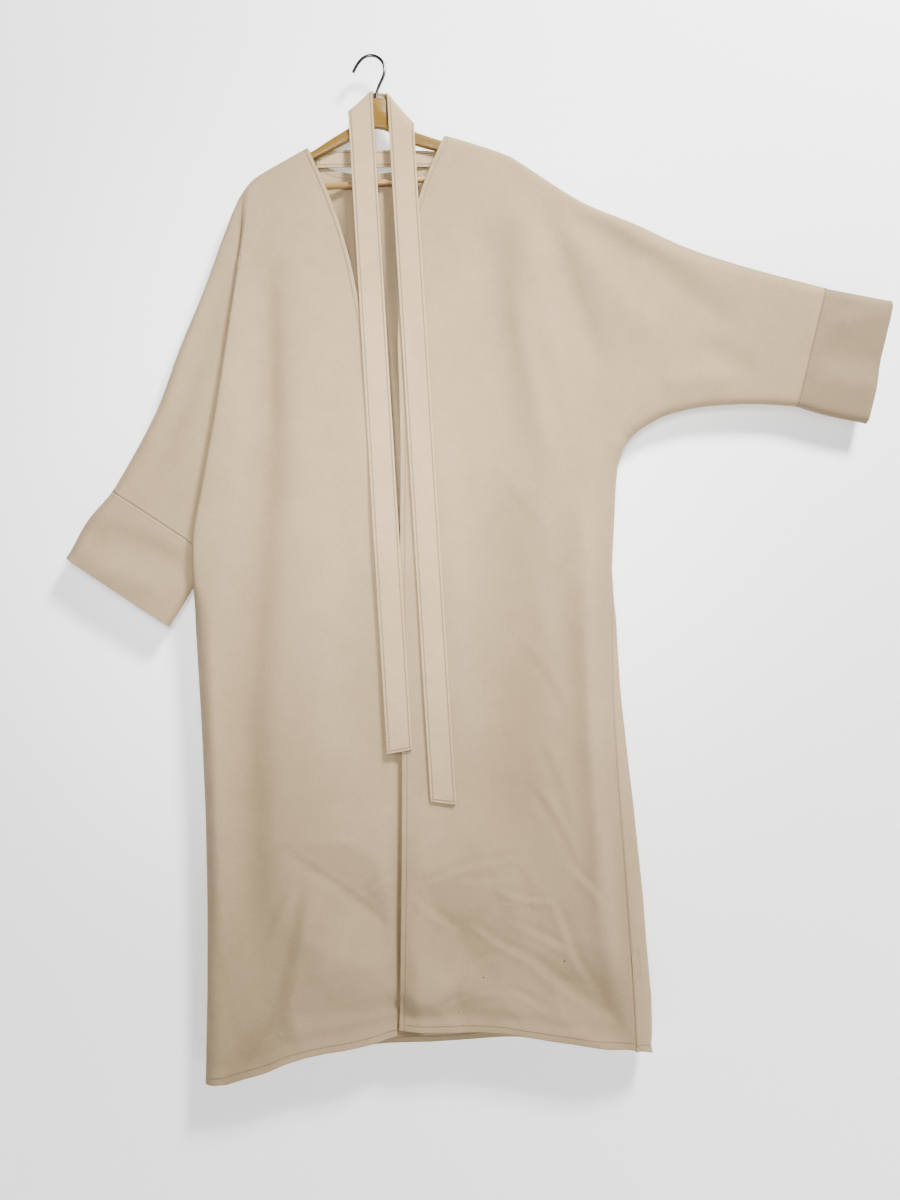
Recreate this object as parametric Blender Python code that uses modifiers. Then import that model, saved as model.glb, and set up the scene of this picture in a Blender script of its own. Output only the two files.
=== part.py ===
"""An open dolman-sleeved cloak in thick felted cloth, hung on a wooden hanger.

Sizes are millimetres until MM turns them into metres. A place on the front
view is (across, drop): across is +X, the viewer's right, and drop is the
distance below the inner top of the hook, where the hanger rests. Depth runs
along Y: the viewer stands on the -Y side and the wall is on the +Y side.
"""
import math

import bmesh
import bpy
import numpy as np

MM = 0.001

# ------------------------------------------------------------ driving sizes
CLOTH = 2.4            # wall of the felted cloth
SEAM_HALF = 0.45       # half the gap between two pieces at a seam
ON_THE_SEAM = 0.4      # a place this near a seam counts as on it
CUFF_GAP = 0.5         # gap between a sleeve's end and its cuff
BELT_WIDTH = 40.0
BELT_WALL = 3.6        # the belt is two layers pressed flat
BELT_CLEAR = 0.5       # gap between the belt and what it lies on
BELT_TURN = 8.6        # half the belt's thickness over the hanger's neck, middle of the cloth
STRAP_WALL = 2.2
WOOD_WALL = 11.0
WOOD_EDGE = 2.2        # rounding of the wood's rims
BAR_DIAMETER = 11.0
WIRE_DIAMETER = 3.7
HOOK_RADIUS = 25.6     # middle of the wire
STEM_ACROSS = 5.6
NECK_TOP = 72.0        # top of the wooden neck
NECK_CORNER = 12.0
NECK_SIDES = (-14.2, 24.2)
CONTACT = 0.3          # gap between hard pieces that touch

# ------------------------------------------------- outlines, (across, drop)
NECK_POINT_LEFT = (-109.5, 144.5)
NECK_POINT_RIGHT = (111.5, 138.4)
ARMPIT_LEFT = (-238.0, 690.0)
ARMPIT_RIGHT = (372.0, 645.0)
TIP_LEFT = (-199.0, 190.0)       # cloth over the hanger's ends
TIP_RIGHT = (213.0, 179.0)
ARMPIT_ROW_LEFT = (-378.0, 541.0)   # where the armpit's row meets the overarm
ARMPIT_ROW_RIGHT = (455.0, 331.0)

# shoulder and overarm line, from the neck point to the cuff seam
OVERARM_LEFT = [NECK_POINT_LEFT, (-160, 169), TIP_LEFT, (-224, 219), (-250, 273),
                (-287, 358), (-342, 467), (-398, 584), (-454, 674)]
OVERARM_RIGHT = [NECK_POINT_RIGHT, (165, 158), TIP_RIGHT, (246, 203), (351, 278),
                 (507, 352), (610, 390), (704, 421)]
# seam under the sleeve, from the armpit to the cuff seam
UNDERARM_LEFT = [(-244.4, 690), (-264, 727), (-303, 788)]
UNDERARM_RIGHT = [ARMPIT_RIGHT, (394, 626), (427, 609), (491, 597), (556, 596), (647, 602)]
# outermost line of the body below the armpit
SIDE_LEFT = [(-309, 690), (-326, 765), (-331, 837), (-335, 917), (-335, 1013), (-337, 1141),
             (-340, 1269), (-348, 1397), (-356, 1525), (-365, 1624)]
SIDE_RIGHT = [ARMPIT_RIGHT, (355, 680), (347, 735), (332, 895), (325, 1054), (328, 1151),
              (338, 1376), (350, 1620)]
# free front edges, from the neck point to the hem
EDGE_RIGHT_FRONT = [NECK_POINT_LEFT, (-82, 216), (-54.5, 316), (-42, 400), (-33, 480),
                    (-21, 650), (-13, 848), (-12, 1100), (-12, 1569)]
EDGE_LEFT_FRONT = [NECK_POINT_RIGHT, (65, 236), (26, 378), (17, 447), (12.5, 591),
                   (2, 762), (-4, 848), (-17, 1116), (-49, 1565)]
# hems, from the front edge or the middle of the back to the side
HEM_RIGHT_FRONT = [(-12, 1569), (-49, 1567), (-130, 1583), (-213, 1597), (-365, 1624)]
HEM_LEFT_FRONT = [(-49, 1565), (15, 1566), (78, 1568), (141, 1579), (236, 1600), (350, 1620)]
HEM_BACK_LEFT = [(0, 1604), (-120, 1606), (-240, 1614), (-365, 1624)]
HEM_BACK_RIGHT = [(0, 1604), (120, 1605), (240, 1611), (350, 1620)]
# back neckline, from its lowest point to each neck point
NECKLINE_LEFT = [(0, 187), (-40, 184), (-76, 175), (-96, 161), NECK_POINT_LEFT]
NECKLINE_RIGHT = [(0, 187), (40, 182), (72, 173), (95, 156), NECK_POINT_RIGHT]
# fold of the hanging side: it leaves the hanger's end and meets the side line
FOLD_LEFT = [TIP_LEFT, (-207, 230), (-225, 310), (-247, 410), (-270, 520), (-309, 690)]

# cuffs: places at the seam and at the open end, under the sleeve and over it
CUFF_LEFT_END = [(-380, 895), (-536, 776)]
CUFF_RIGHT_END = [(758, 638), (810, 448.5)]
CUFF_ROWS = [0.0, 0.5, 1.0]
# belt: middle of each hanging strip, where it turns over the neck, where it ends
BELT_STRIPS = [{"across": -20.5, "turn": 75.5, "slope": -0.787, "end": (1117.0, 1112.0)},
               {"across": 43.0, "turn": 91.0, "slope": 1.271, "end": (1195.6, 1203.0)}]
BELT_SHARES = [-0.5, -0.25, 0.0, 0.25, 0.5]
BELT_TURN_ROWS = [0.0, 0.13, 0.5, 1.0]     # rows off the turn, in units of its depth
BELT_REAR_ROWS = [0.05, 0.16, 0.34, 0.5, 0.66, 0.84, 0.95]
BELT_ROWS = [125, 160, 200, 240, 290, 350, 430, 520, 620, 720, 820, 930, 1040]
# strap behind the neck: across, middle drop, width
STRAP = [(-97, 164, 18), (-87, 160.5, 25), (-60, 160.2, 27), (-6, 163.7, 27), (50, 167.3, 27),
         (80, 169.3, 26), (97, 170.5, 23)]
STRAP_DEPTH = 7.6
# hanger, (across, drop): arm tops from the ends inwards, undersides from left to right
ARM_TOP_LEFT = [(-195, 195.5), (-150, 171.5), (-110, 154.5), (-68, 131), (-39, 116), (-22, 106),
                (-14.2, 96)]
ARM_TOP_RIGHT = [(24.2, 98), (30, 109), (45, 119.5), (65, 130), (103, 145.5), (150, 162),
                 (207, 184)]
ARM_UNDER_RIGHT = [(198, 196.5), (190, 194), (150, 178.5), (100, 161.5), (64, 150), (45, 141),
                   (28, 128.5), (12, 120.5), (-3, 117.5)]
ARM_UNDER_LEFT = [(-3, 117.5), (-20, 123), (-40, 135), (-101, 162), (-150, 186), (-178, 198),
                  (-186, 201)]
LUG_BOTTOM_LEFT = 217.0
LUG_BOTTOM_RIGHT = 212.0
BAR_LEFT = (-186.0, 208.5)
BAR_RIGHT = (198.0, 203.5)
# wire from the end of its round part down to the wood
HOOK_STEM = [(22.5, 33), (15.5, 41.8), (9.0, 49), (5.6, 57)]
HOOK_TURN = (178.0, -18.0)   # degrees at the start and end of the round part

# half the garment's thickness, middle of the cloth, by drop
# drop, at the front edge, at the left fold, at the right side, in the hanging sleeve
HALF_DEPTH = [(130, 9.5, 10.0, 9.5, 9.0),
              (200, 11.0, 11.5, 11.0, 8.0),
              (300, 14.0, 20.0, 14.0, 7.0),
              (450, 18.0, 27.0, 18.0, 8.5),
              (600, 22.0, 33.0, 22.0, 10.0),
              (750, 25.0, 35.0, 25.0, 11.5),
              (1000, 28.0, 32.0, 28.0, 12.0),
              (1300, 30.0, 30.0, 30.0, 12.0),
              (1640, 31.0, 30.0, 31.0, 12.0)]
DEPTH_AT = {"drop": 0, "edge": 1, "left": 2, "right": 3, "sleeve": 4}
BACK_NECK_EXTRA = 2.5   # the back stands this much farther off the hanger at the neck
LAP_LIFT = 6.0          # the left front lies this much before the right one
LAP_REACH = 150.0       # and settles back over this width
RAISED_DEPTH = 9.5      # half the thickness of the raised sleeve at its cuff
SEAM_LIP = 1.5          # straight strip of cloth next to a seam
MERGE = 1.6             # places nearer than this become one

# the pleat at the hanging side: cloth turns under at the fold, runs inwards and
# turns out again into the sleeve. its bends' columns are shares of their turn
OUTER_TURNS = [0.0, 0.25, 0.5, 0.75, 1.0]
INNER_TURNS = [0.0, 0.25, 0.4, 0.5, 0.6, 0.75, 1.0]
# drop, degrees that the cloth turns round each bend, length of the flat between the bends
PLEAT = [(190, 6, 6), (245, 45, 6), (300, 90, 5), (345, 125, 6), (390, 155, 12),
         (450, 176, 32), (520, 180, 45), (600, 180, 53), (690, 180, 59)]
PLEAT_SETTLED = 290.0   # drop where its columns have left the overarm's slope
PLEAT_SPREAD = 40.0     # width that its columns take on the overarm
CRUTCH = 3.2            # half the width of the cloth's turn in the armpit
CONVERGE_START = 590.0  # drop where the fold starts to close on the armpit
GROOVE_FADE = 750.0     # drops between which the groove in the body's side fades out
GROOVE_END = 920.0
# bottom of the groove that holds the sleeve: drop, across
GROOVE = [(690, -238), (727, -247), (788, -286), (840, -312), (900, -332)]
# the back wraps round the right side to the front: drop, width seen in front
SIDE_WRAP = [(645, 0.0), (735, 0.0), (895, 4.0), (1054, 7.0), (1118, 10.0), (1376, 19.0),
             (1620, 31.0)]
LAP_ROWS = [(150, 0.0), (300, 1.0)]
MIDDLE_DROP = 668.0     # where the armpits' row meets the middle

# columns across a panel, as fractions, and rows down it
BODY_COLUMNS = [0.0, 0.06, 0.16, 0.3, 0.45, 0.6, 0.74, 0.86, 0.94, 1.0]
SIDE_TURNS = [90, 62, 32]   # degrees round the right side before the seam
ROWS_UPPER = [0.0, 0.006, 0.021, 0.07, 0.15, 0.25, 0.37, 0.5, 0.64, 0.77, 0.87, 0.94, 0.98, 1.0]
ROWS_LOWER = [0.0, 0.02, 0.045, 0.07, 0.095, 0.12, 0.145, 0.17, 0.2, 0.24, 0.31, 0.42, 0.55, 0.7, 0.85, 1.0]
ROWS_SLEEVE = [0.0, 0.08, 0.25, 0.45, 0.65, 0.85, 1.0]
SLEEVE_COLUMNS = [0.0, 0.025, 0.08, 0.22, 0.42, 0.64, 0.84, 0.95, 1.0]
HANGING_COLUMNS = [0.0, 0.2, 0.45, 0.7, 0.88, 0.96, 1.0]
HANGING_CUFF_COLUMNS = [0.0, 0.018, 0.06, 0.22, 0.43, 0.65, 0.85, 0.95, 1.0]
NECK_COLUMNS = [0.0, 0.2, 0.4, 0.6, 0.8]
SHOULDER_COLUMNS = [0.0, 0.25, 0.5, 0.75, 1.0]


# ------------------------------------------------------------ curve helpers
def smooth(table, column, at):
    """Value of one column of a table at a place in its first column, without overshoot."""
    keys = np.array([row[0] for row in table], float)
    values = np.array([row[column] for row in table], float)
    return monotone(keys, values, at)


def monotone(keys, values, at):
    """Monotone cubic through (keys, values)."""
    at = np.clip(np.asarray(at, float), keys[0], keys[-1])
    step = np.diff(keys)
    slope = np.diff(values) / step
    tangent = np.zeros(len(keys))
    tangent[0] = slope[0]
    tangent[-1] = slope[-1]
    for i in range(1, len(keys) - 1):
        if slope[i - 1] * slope[i] > 0:
            before = 2 * step[i] + step[i - 1]
            after = step[i] + 2 * step[i - 1]
            tangent[i] = (before + after) / (before / slope[i - 1] + after / slope[i])
    i = np.clip(np.searchsorted(keys, at, side="right") - 1, 0, len(keys) - 2)
    t = (at - keys[i]) / step[i]
    return (values[i] * (1 + 2 * t) * (1 - t) ** 2 + tangent[i] * step[i] * t * (1 - t) ** 2
            + values[i + 1] * t * t * (3 - 2 * t) + tangent[i + 1] * step[i] * t * t * (t - 1))


def chord(points):
    """Distance along a polyline at each of its points."""
    steps = np.linalg.norm(np.diff(points, axis=0), axis=1)
    return np.concatenate([[0.0], np.cumsum(steps)])


def along(points, fractions):
    """Smooth curve through the points, read at fractions of its length."""
    points = np.array(points, float)
    run = chord(points)
    at = np.asarray(fractions, float) * run[-1]
    return np.stack([monotone(run, points[:, k], at) for k in range(points.shape[1])], axis=-1)


def dense(points, count=200):
    """The same curve as many short chords."""
    return along(points, np.linspace(0, 1, count))


def share_along(points):
    """Fraction of its length at each point of a line; even steps where it is one place."""
    run = chord(points)
    return run / run[-1] if run[-1] > 1e-6 else np.linspace(0, 1, len(points))


def part_of(points, start, end, count=120):
    """Piece of a curve between two fractions of its length, as a list of points."""
    return along(points, np.linspace(start, end, count))


def fraction_near(points, place):
    """Fraction of a curve's length that is nearest to a place."""
    line = dense(points, 600)
    nearest = np.argmin(np.linalg.norm(line - np.array(place, float), axis=1))
    return nearest / 599.0


def ease(t):
    t = np.clip(t, 0.0, 1.0)
    return t * t * (3 - 2 * t)


def distance_to(line, places):
    """Shortest distance from each place to a polyline."""
    start = line[:-1]
    run = line[1:] - start
    offset = places[..., None, :] - start
    t = np.clip((offset * run).sum(-1) / np.maximum((run * run).sum(-1), 1e-9), 0, 1)
    return np.linalg.norm(offset - t[..., None] * run, axis=-1).min(-1)


def coons(top, bottom, left, right):
    """Grid of places filling four curves; rows run from top to bottom."""
    columns = len(top)
    rows = len(left)
    u, u2, v, v2 = (share_along(side) for side in (top, bottom, left, right))
    grid = np.zeros((rows, columns, top.shape[1]))
    for i in range(rows):
        for j in range(columns):
            s = u[j] + (u2[j] - u[j]) * v[i]
            t = v[i] + (v2[i] - v[i]) * u[j]
            grid[i, j] = ((1 - t) * top[j] + t * bottom[j] + (1 - s) * left[i] + s * right[i]
                          - (1 - s) * (1 - t) * top[0] - s * (1 - t) * top[-1]
                          - (1 - s) * t * bottom[0] - s * t * bottom[-1])
    return grid



# ------------------------------------------------------------- depth of cloth
def rounded(distance, half):
    """Share of the half depth at a distance from a seamed edge."""
    t = np.clip((distance - ON_THE_SEAM) / half, 0.0, 1.0)
    return np.sqrt(np.maximum(0.0, 1.0 - (1.0 - t) ** 2))


def seamed(half, distance):
    """Depth that closes to the strip beside a seam at an edge."""
    least = SEAM_HALF + SEAM_LIP
    return least + (half - least) * rounded(distance, half)


def body_half(drop, share, column):
    """Half depth of the body, from the front edge (share 0) to the side (share 1)."""
    near = smooth(HALF_DEPTH, DEPTH_AT["edge"], drop)
    far = smooth(HALF_DEPTH, DEPTH_AT[column], drop)
    return near + (far - near) * ease(share)


def neck_extra(across, drop):
    """How much farther the back stands off the hanger near the neckline."""
    return BACK_NECK_EXTRA * (1 - ease((drop - 190) / 120)) * (1 - ease((abs(across) - 110) / 90))


def at_drop(line, drop):
    """Across of a line, given as (across, drop) places, at a drop."""
    keys = np.array([place[1] for place in line], float)
    values = np.array([place[0] for place in line], float)
    return monotone(keys, values, drop)


def lap_lift(across, drop, edge):
    """How far the upper front stands before the lower one."""
    reach = 1.0 - ease((across - edge) / LAP_REACH)
    return LAP_LIFT * reach * smooth(LAP_ROWS, 1, drop)


def with_depth(flat, depth):
    """Grid of (across, depth, drop) from places and their depths."""
    return np.stack([flat[..., 0], depth, flat[..., 1]], axis=-1)


def blend(first, second, share):
    return tuple(a + (b - a) * share for a, b in zip(first, second))


# -------------------------------------------------------------- middle edge
def middle_lines(edge, neckline, hem, overarm, tip, is_front):
    """Top row, upper and lower middle edge, and hem of a half panel."""
    split = fraction_near(overarm, tip)
    shoulder = part_of(overarm, 0.0, split)
    if is_front:
        top = along(shoulder, BODY_COLUMNS)
        place = (float(at_drop(edge, MIDDLE_DROP)), MIDDLE_DROP)
        at = fraction_near(edge, place)
        upper = along(part_of(edge, 0.0, at), ROWS_UPPER)
        lower = along(part_of(edge, at, 1.0), ROWS_LOWER)
    else:
        top = np.concatenate([along(neckline, NECK_COLUMNS), along(shoulder, SHOULDER_COLUMNS)])
        upper = along([neckline[0], (0.0, MIDDLE_DROP)], ROWS_UPPER)
        lower = along([(0.0, MIDDLE_DROP), hem[0]], ROWS_LOWER)
    return top, upper, lower, split


# ------------------------------------------------------------- raised side
def side_arc(reach, outermost, half):
    """Place on the section round the right side, reach measured from its outermost line."""
    quarter = half * math.pi / 2
    if reach > quarter:
        return outermost - half - (reach - quarter), half
    angle = reach / half
    return outermost - half * (1 - math.cos(angle)), half * math.sin(angle)


def side_columns(outermost, drop, is_front):
    """Columns round the right side at one drop, ending in the seam's strip: (across, depth)."""
    half = float(smooth(HALF_DEPTH, DEPTH_AT["right"], drop))
    wrap = float(smooth(SIDE_WRAP, 1, drop))
    quarter = half * math.pi / 2
    seam = half * math.acos(1 - wrap / half) if wrap < half else quarter + wrap - half
    if is_front:
        reaches = [max(quarter, seam + 12.0)]
        ending = [seam + SEAM_HALF + SEAM_LIP, seam + SEAM_HALF]
    else:
        reaches = [-quarter]
        ending = [seam - SEAM_HALF - SEAM_LIP, seam - SEAM_HALF]
    first = reaches[0]
    reaches += [first + (ending[0] - first) * (1 - turn / 90) for turn in SIDE_TURNS[1:]]
    places = []
    for reach in reaches + ending:
        across, depth = side_arc(abs(reach), outermost, half)
        places.append((across, -depth if reach > 0 else depth))
    return places


def raised_depth(flat, is_front):
    """Depth of the raised side's cloth at places on the front view."""
    across = flat[..., 0]
    drop = flat[..., 1]
    half = body_half(drop, np.clip(across / 330.0, 0.0, 1.0), "right")
    half = half + (RAISED_DEPTH - half) * ease((across - TIP_RIGHT[0]) / 380.0)
    if not is_front:
        half = half + neck_extra(across, drop)
    gap = np.minimum(distance_to(dense(OVERARM_RIGHT, 160), flat),
                     distance_to(dense(UNDERARM_RIGHT, 80), flat))
    depth = seamed(half, gap)
    if not is_front:
        return depth
    return -(depth + lap_lift(across, drop, at_drop(EDGE_LEFT_FRONT, drop)))


def raised_half(is_front):
    """The blocks of one raised half panel, as grids of (across, depth, drop)."""
    hem = HEM_LEFT_FRONT if is_front else HEM_BACK_RIGHT
    top, middle_upper, middle_lower, split = middle_lines(
        EDGE_LEFT_FRONT, NECKLINE_RIGHT, hem, OVERARM_RIGHT, TIP_RIGHT, is_front)
    side = along(SIDE_RIGHT, ROWS_LOWER)
    turned = np.array([[(*place, drop) for place in side_columns(across, drop, is_front)]
                       for across, drop in side])
    tips = along([TIP_RIGHT, tuple(turned[0, 0, [0, 2]])], ROWS_UPPER)
    row = along([tuple(middle_lower[0]), tuple(turned[0, 0, [0, 2]])], BODY_COLUMNS)
    bottom = along(hem, [share * 0.999 for share in BODY_COLUMNS])
    wider = (turned[-1, 0, 0] - bottom[0, 0]) / (bottom[-1, 0] - bottom[0, 0])
    bottom = bottom[0] + (bottom - bottom[0]) * wider
    bottom[:, 1] = [float(monotone(*np.array(hem, float).T, across)) for across in bottom[:, 0]]
    turned[-1, :, 2] = [float(monotone(*np.array(hem, float).T, across)) for across in turned[-1, :, 0]]
    bottom[-1] = turned[-1, 0, [0, 2]]
    body_upper = coons(top, row, middle_upper, tips)
    body_lower = coons(row, bottom, middle_lower, turned[:, 0][:, [0, 2]])
    armpit = fraction_near(OVERARM_RIGHT, ARMPIT_ROW_RIGHT)
    over = tuple(along(OVERARM_RIGHT, [armpit])[0])
    # the strip between the body and the armpit, from the hanger's tip down
    strip_row = turned[0, :4][:, [0, 2]]
    strip_tip = np.array([TIP_RIGHT] * 4, float)
    inner = along([TIP_RIGHT, ARMPIT_RIGHT], ROWS_UPPER)
    strip = coons(strip_tip, strip_row, tips, inner)
    sleeve_row = along([ARMPIT_RIGHT, over], SLEEVE_COLUMNS)
    sleeve_upper = coons(np.array([TIP_RIGHT] * len(SLEEVE_COLUMNS), float), sleeve_row, inner,
                         along(part_of(OVERARM_RIGHT, split, armpit), ROWS_UPPER))
    sleeve_lower = coons(sleeve_row, along([UNDERARM_RIGHT[-1], OVERARM_RIGHT[-1]], SLEEVE_COLUMNS),
                         along(UNDERARM_RIGHT, ROWS_SLEEVE),
                         along(part_of(OVERARM_RIGHT, armpit, 1.0), ROWS_SLEEVE))
    upper = [with_depth(flat, raised_depth(flat, is_front))
             for flat in (body_upper, strip, sleeve_upper, sleeve_lower)]
    share = np.array(BODY_COLUMNS)[None, :] + 0 * body_lower[..., 1]
    half = body_half(body_lower[..., 1], share, "right")
    depth = half
    if is_front:
        depth = -(half + lap_lift(body_lower[..., 0], body_lower[..., 1],
                                  at_drop(EDGE_LEFT_FRONT, body_lower[..., 1])))
    lower = with_depth(body_lower, depth)
    lower[:, -1] = turned[:, 0]
    upper[0][-1] = lower[0]
    upper[1][-1] = turned[0, :4]
    return upper + [lower, turned]


# ------------------------------------------------------------ hanging side
CRUTCH_COLUMN = len(OUTER_TURNS) + 1 + INNER_TURNS.index(0.5)
GROOVE_COLUMN = CRUTCH_COLUMN - 1
STRIP_COLUMN = len(OUTER_TURNS)
PLEAT_COLUMNS = len(OUTER_TURNS) + 1 + len(INNER_TURNS)


def pleat_section(drop):
    """Section of the pleat at one drop: its columns as (across, half depth)."""
    half = float(smooth(HALF_DEPTH, DEPTH_AT["left"], drop))
    sleeve = float(smooth(HALF_DEPTH, DEPTH_AT["sleeve"], drop))
    above = drop < ARMPIT_LEFT[1]
    outer = float(at_drop(FOLD_LEFT if above else SIDE_LEFT, drop))
    turn = math.radians(float(smooth(PLEAT, 1, drop)))
    flat = float(smooth(PLEAT, 2, drop))
    bend = (half - sleeve - flat * math.sin(turn)) / (2 * (1 - math.cos(turn)))
    start = outer + (half - sleeve) / 4
    section = []
    for share in OUTER_TURNS:
        a = share * turn
        section.append((start - bend * math.sin(a), half - bend * (1 - math.cos(a))))
    across, depth = section[-1]
    section.append((across, depth))
    across -= flat * math.cos(turn)
    depth -= flat * math.sin(turn)
    lying = []
    for share in INNER_TURNS:
        a = turn - share * turn
        lying.append((across - bend * (math.sin(turn) - math.sin(a)),
                      depth - bend * (math.cos(a) - math.cos(turn))))
    level = half - 2 * bend
    inner = float(monotone(*np.array(GROOVE, float).T, drop))
    least = SEAM_HALF + SEAM_LIP
    far = inner - 2 * CRUTCH
    corner = min(level, 0.8 * max(inner - start, 1.0))
    closed = [(inner - corner, level), (inner - 0.3 * corner, 0.7 * level), (inner, least),
              (inner - CRUTCH, least), (far, least), (far - 0.3 * sleeve, 0.7 * sleeve),
              (far - sleeve, sleeve)]
    converge = float(ease((drop - CONVERGE_START) / (ARMPIT_LEFT[1] - CONVERGE_START)))
    section += [blend(first, second, converge) for first, second in zip(lying, closed)]
    section[STRIP_COLUMN] = blend(section[STRIP_COLUMN - 1], section[STRIP_COLUMN + 1], 0.5)
    full = float(ease((drop - GROOVE_FADE) / (GROOVE_END - GROOVE_FADE)))
    if above or full == 0:
        return section
    section = section[:GROOVE_COLUMN + 1]
    for k, place in enumerate(section):
        a = math.radians(90.0 * (1 - k / GROOVE_COLUMN))
        convex = (outer + half * (1 - math.cos(a)), least + (half - least) * math.sin(a))
        section[k] = blend(place, convex, full)
    shift = outer - min(across for across, depth in section)
    return [(across + shift, depth) for across, depth in section]


def hanging_pleat():
    """Pleat columns of the hanging side, above and below the armpit."""
    split = fraction_near(OVERARM_LEFT, TIP_LEFT)
    whole = chord(dense(OVERARM_LEFT, 400))[-1]
    tops = along(OVERARM_LEFT, [split + PLEAT_SPREAD * k / (PLEAT_COLUMNS - 1) / whole
                                for k in range(PLEAT_COLUMNS)])
    tops[0] = TIP_LEFT
    fold = along(FOLD_LEFT, ROWS_UPPER)
    seam = dense(OVERARM_LEFT, 200)
    upper = np.zeros((len(fold), PLEAT_COLUMNS, 3))
    for i, drop in enumerate(fold[:, 1]):
        settled = float(ease((drop - TIP_LEFT[1]) / (PLEAT_SETTLED - TIP_LEFT[1])))
        section = pleat_section(drop)
        for k in range(PLEAT_COLUMNS):
            place = blend(tuple(tops[k] + fold[i] - fold[0]), (section[k][0], drop), settled)
            gap = float(distance_to(seam, np.array([place]))[0])
            depth = section[k][1]
            upper[i, k] = (place[0], float(seamed(depth, gap)) if gap < depth else depth, place[1])
    drops = along([(0, ARMPIT_LEFT[1]), (0, SIDE_LEFT[-1][1])], ROWS_LOWER)[:, 1]
    lower = np.array([[(*place, drop) for place in pleat_section(drop)[:GROOVE_COLUMN + 1]]
                      for drop in drops])
    lower[0] = upper[-1, :GROOVE_COLUMN + 1]
    return upper, lower, split + PLEAT_SPREAD / whole


def hanging_half(is_front):
    """The blocks of one hanging half panel, as grids of (across, depth, drop)."""
    pleat_upper, pleat_lower, after_pleat = hanging_pleat()
    hem = HEM_RIGHT_FRONT if is_front else HEM_BACK_LEFT
    top, middle_upper, middle_lower, split = middle_lines(
        EDGE_RIGHT_FRONT, NECKLINE_LEFT, hem, OVERARM_LEFT, TIP_LEFT, is_front)
    armpit = fraction_near(OVERARM_LEFT, ARMPIT_ROW_LEFT)
    row = along([tuple(middle_lower[0]), tuple(pleat_lower[0, 0, [0, 2]])], BODY_COLUMNS)
    reach = (pleat_lower[-1, 0, 0] - hem[0][0]) * np.array(BODY_COLUMNS)
    line = np.array(hem[::-1], float)
    bottom = np.stack([hem[0][0] + reach, monotone(line[:, 0], line[:, 1], hem[0][0] + reach)], axis=-1)
    pleat_lower[-1, :, 2] = monotone(line[:, 0], line[:, 1], pleat_lower[-1, :, 0])
    bottom[-1] = pleat_lower[-1, 0, [0, 2]]
    body_upper = coons(top, row, middle_upper, pleat_upper[:, 0][:, [0, 2]])
    body_lower = coons(row, bottom, middle_lower, pleat_lower[:, 0][:, [0, 2]])
    seam = dense(OVERARM_LEFT, 200)
    body = []
    for flat in (body_upper, body_lower):
        half = body_half(flat[..., 1], np.array(BODY_COLUMNS)[None, :] + 0 * flat[..., 1], "left")
        if not is_front:
            half = half + neck_extra(flat[..., 0], flat[..., 1])
        body.append(with_depth(flat, seamed(half, distance_to(seam, flat))))
    body[0][:, -1] = pleat_upper[:, 0]
    body[1][:, -1] = pleat_lower[:, 0]
    body[0][-1] = body[1][0]
    start = pleat_upper[:, -1]
    over = tuple(along(OVERARM_LEFT, [armpit])[0])
    sleeve_row = along([tuple(start[-1][[0, 2]]), over], HANGING_COLUMNS)
    sleeve_upper = coons(np.array([start[0][[0, 2]]] * len(HANGING_COLUMNS), float), sleeve_row,
                         start[:, [0, 2]], along(part_of(OVERARM_LEFT, after_pleat, armpit), ROWS_UPPER))
    lower_row = np.concatenate([pleat_upper[-1, CRUTCH_COLUMN + 1:-1][:, [0, 2]], sleeve_row])
    cuff = along([UNDERARM_LEFT[-1], OVERARM_LEFT[-1]], HANGING_CUFF_COLUMNS)
    sleeve_lower = coons(lower_row, cuff, along(UNDERARM_LEFT, ROWS_SLEEVE),
                         along(part_of(OVERARM_LEFT, armpit, 1.0), ROWS_SLEEVE))
    sleeve = []
    for flat, lines in ((sleeve_upper, [seam]), (sleeve_lower, [seam, dense(UNDERARM_LEFT, 80)])):
        half = smooth(HALF_DEPTH, DEPTH_AT["sleeve"], flat[..., 1])
        gap = np.minimum.reduce([distance_to(line, flat) for line in lines])
        sleeve.append(with_depth(flat, seamed(half, gap)))
    sleeve[0][:, 0] = start
    sleeve[1][0] = np.concatenate([pleat_upper[-1, CRUTCH_COLUMN + 1:-1], sleeve[0][-1]])
    grids = body + sleeve + [pleat_upper, pleat_lower]
    if is_front:
        for grid in grids:
            grid[..., 1] *= -1
    return grids


# ------------------------------------------------------------------- cuffs
def cuff_rings(seam, end, half_at_seam, half_at_end, columns):
    """Rings of one cuff from the sleeve to its open end, (across, depth, drop)."""
    start = np.array(seam, float)
    finish = np.array(end, float)
    run = finish - start
    start = start + run / np.linalg.norm(run, axis=1)[:, None] * CUFF_GAP
    rings = []
    for row in CUFF_ROWS:
        line = start + (finish - start) * row
        width = np.linalg.norm(line[1] - line[0])
        places = line[0] + (line[1] - line[0]) * np.array(columns)[:, None]
        gap = np.minimum(np.array(columns), 1 - np.array(columns)) * width
        depth = seamed(half_at_seam + (half_at_end - half_at_seam) * row, gap)
        before = with_depth(places, -depth)
        behind = with_depth(places, depth)[::-1]
        rings.append(np.concatenate([before, behind]))
    return np.array(rings)


# -------------------------------------------------------------------- belt
def belt_strip_depth(drop, number):
    """Depth of a hanging strip's middle, just before the front that it lies on."""
    before = smooth(HALF_DEPTH, DEPTH_AT["edge"], drop)
    lap = LAP_LIFT * smooth(LAP_ROWS, 1, drop)
    if number == 0:
        lap = lap * ease((drop - 620.0) / 160.0)
    resting = before + lap + CLOTH / 2 + BELT_CLEAR + BELT_WALL / 2
    return BELT_TURN + (resting - BELT_TURN) * ease((drop - 110.0) / 115.0)


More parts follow.
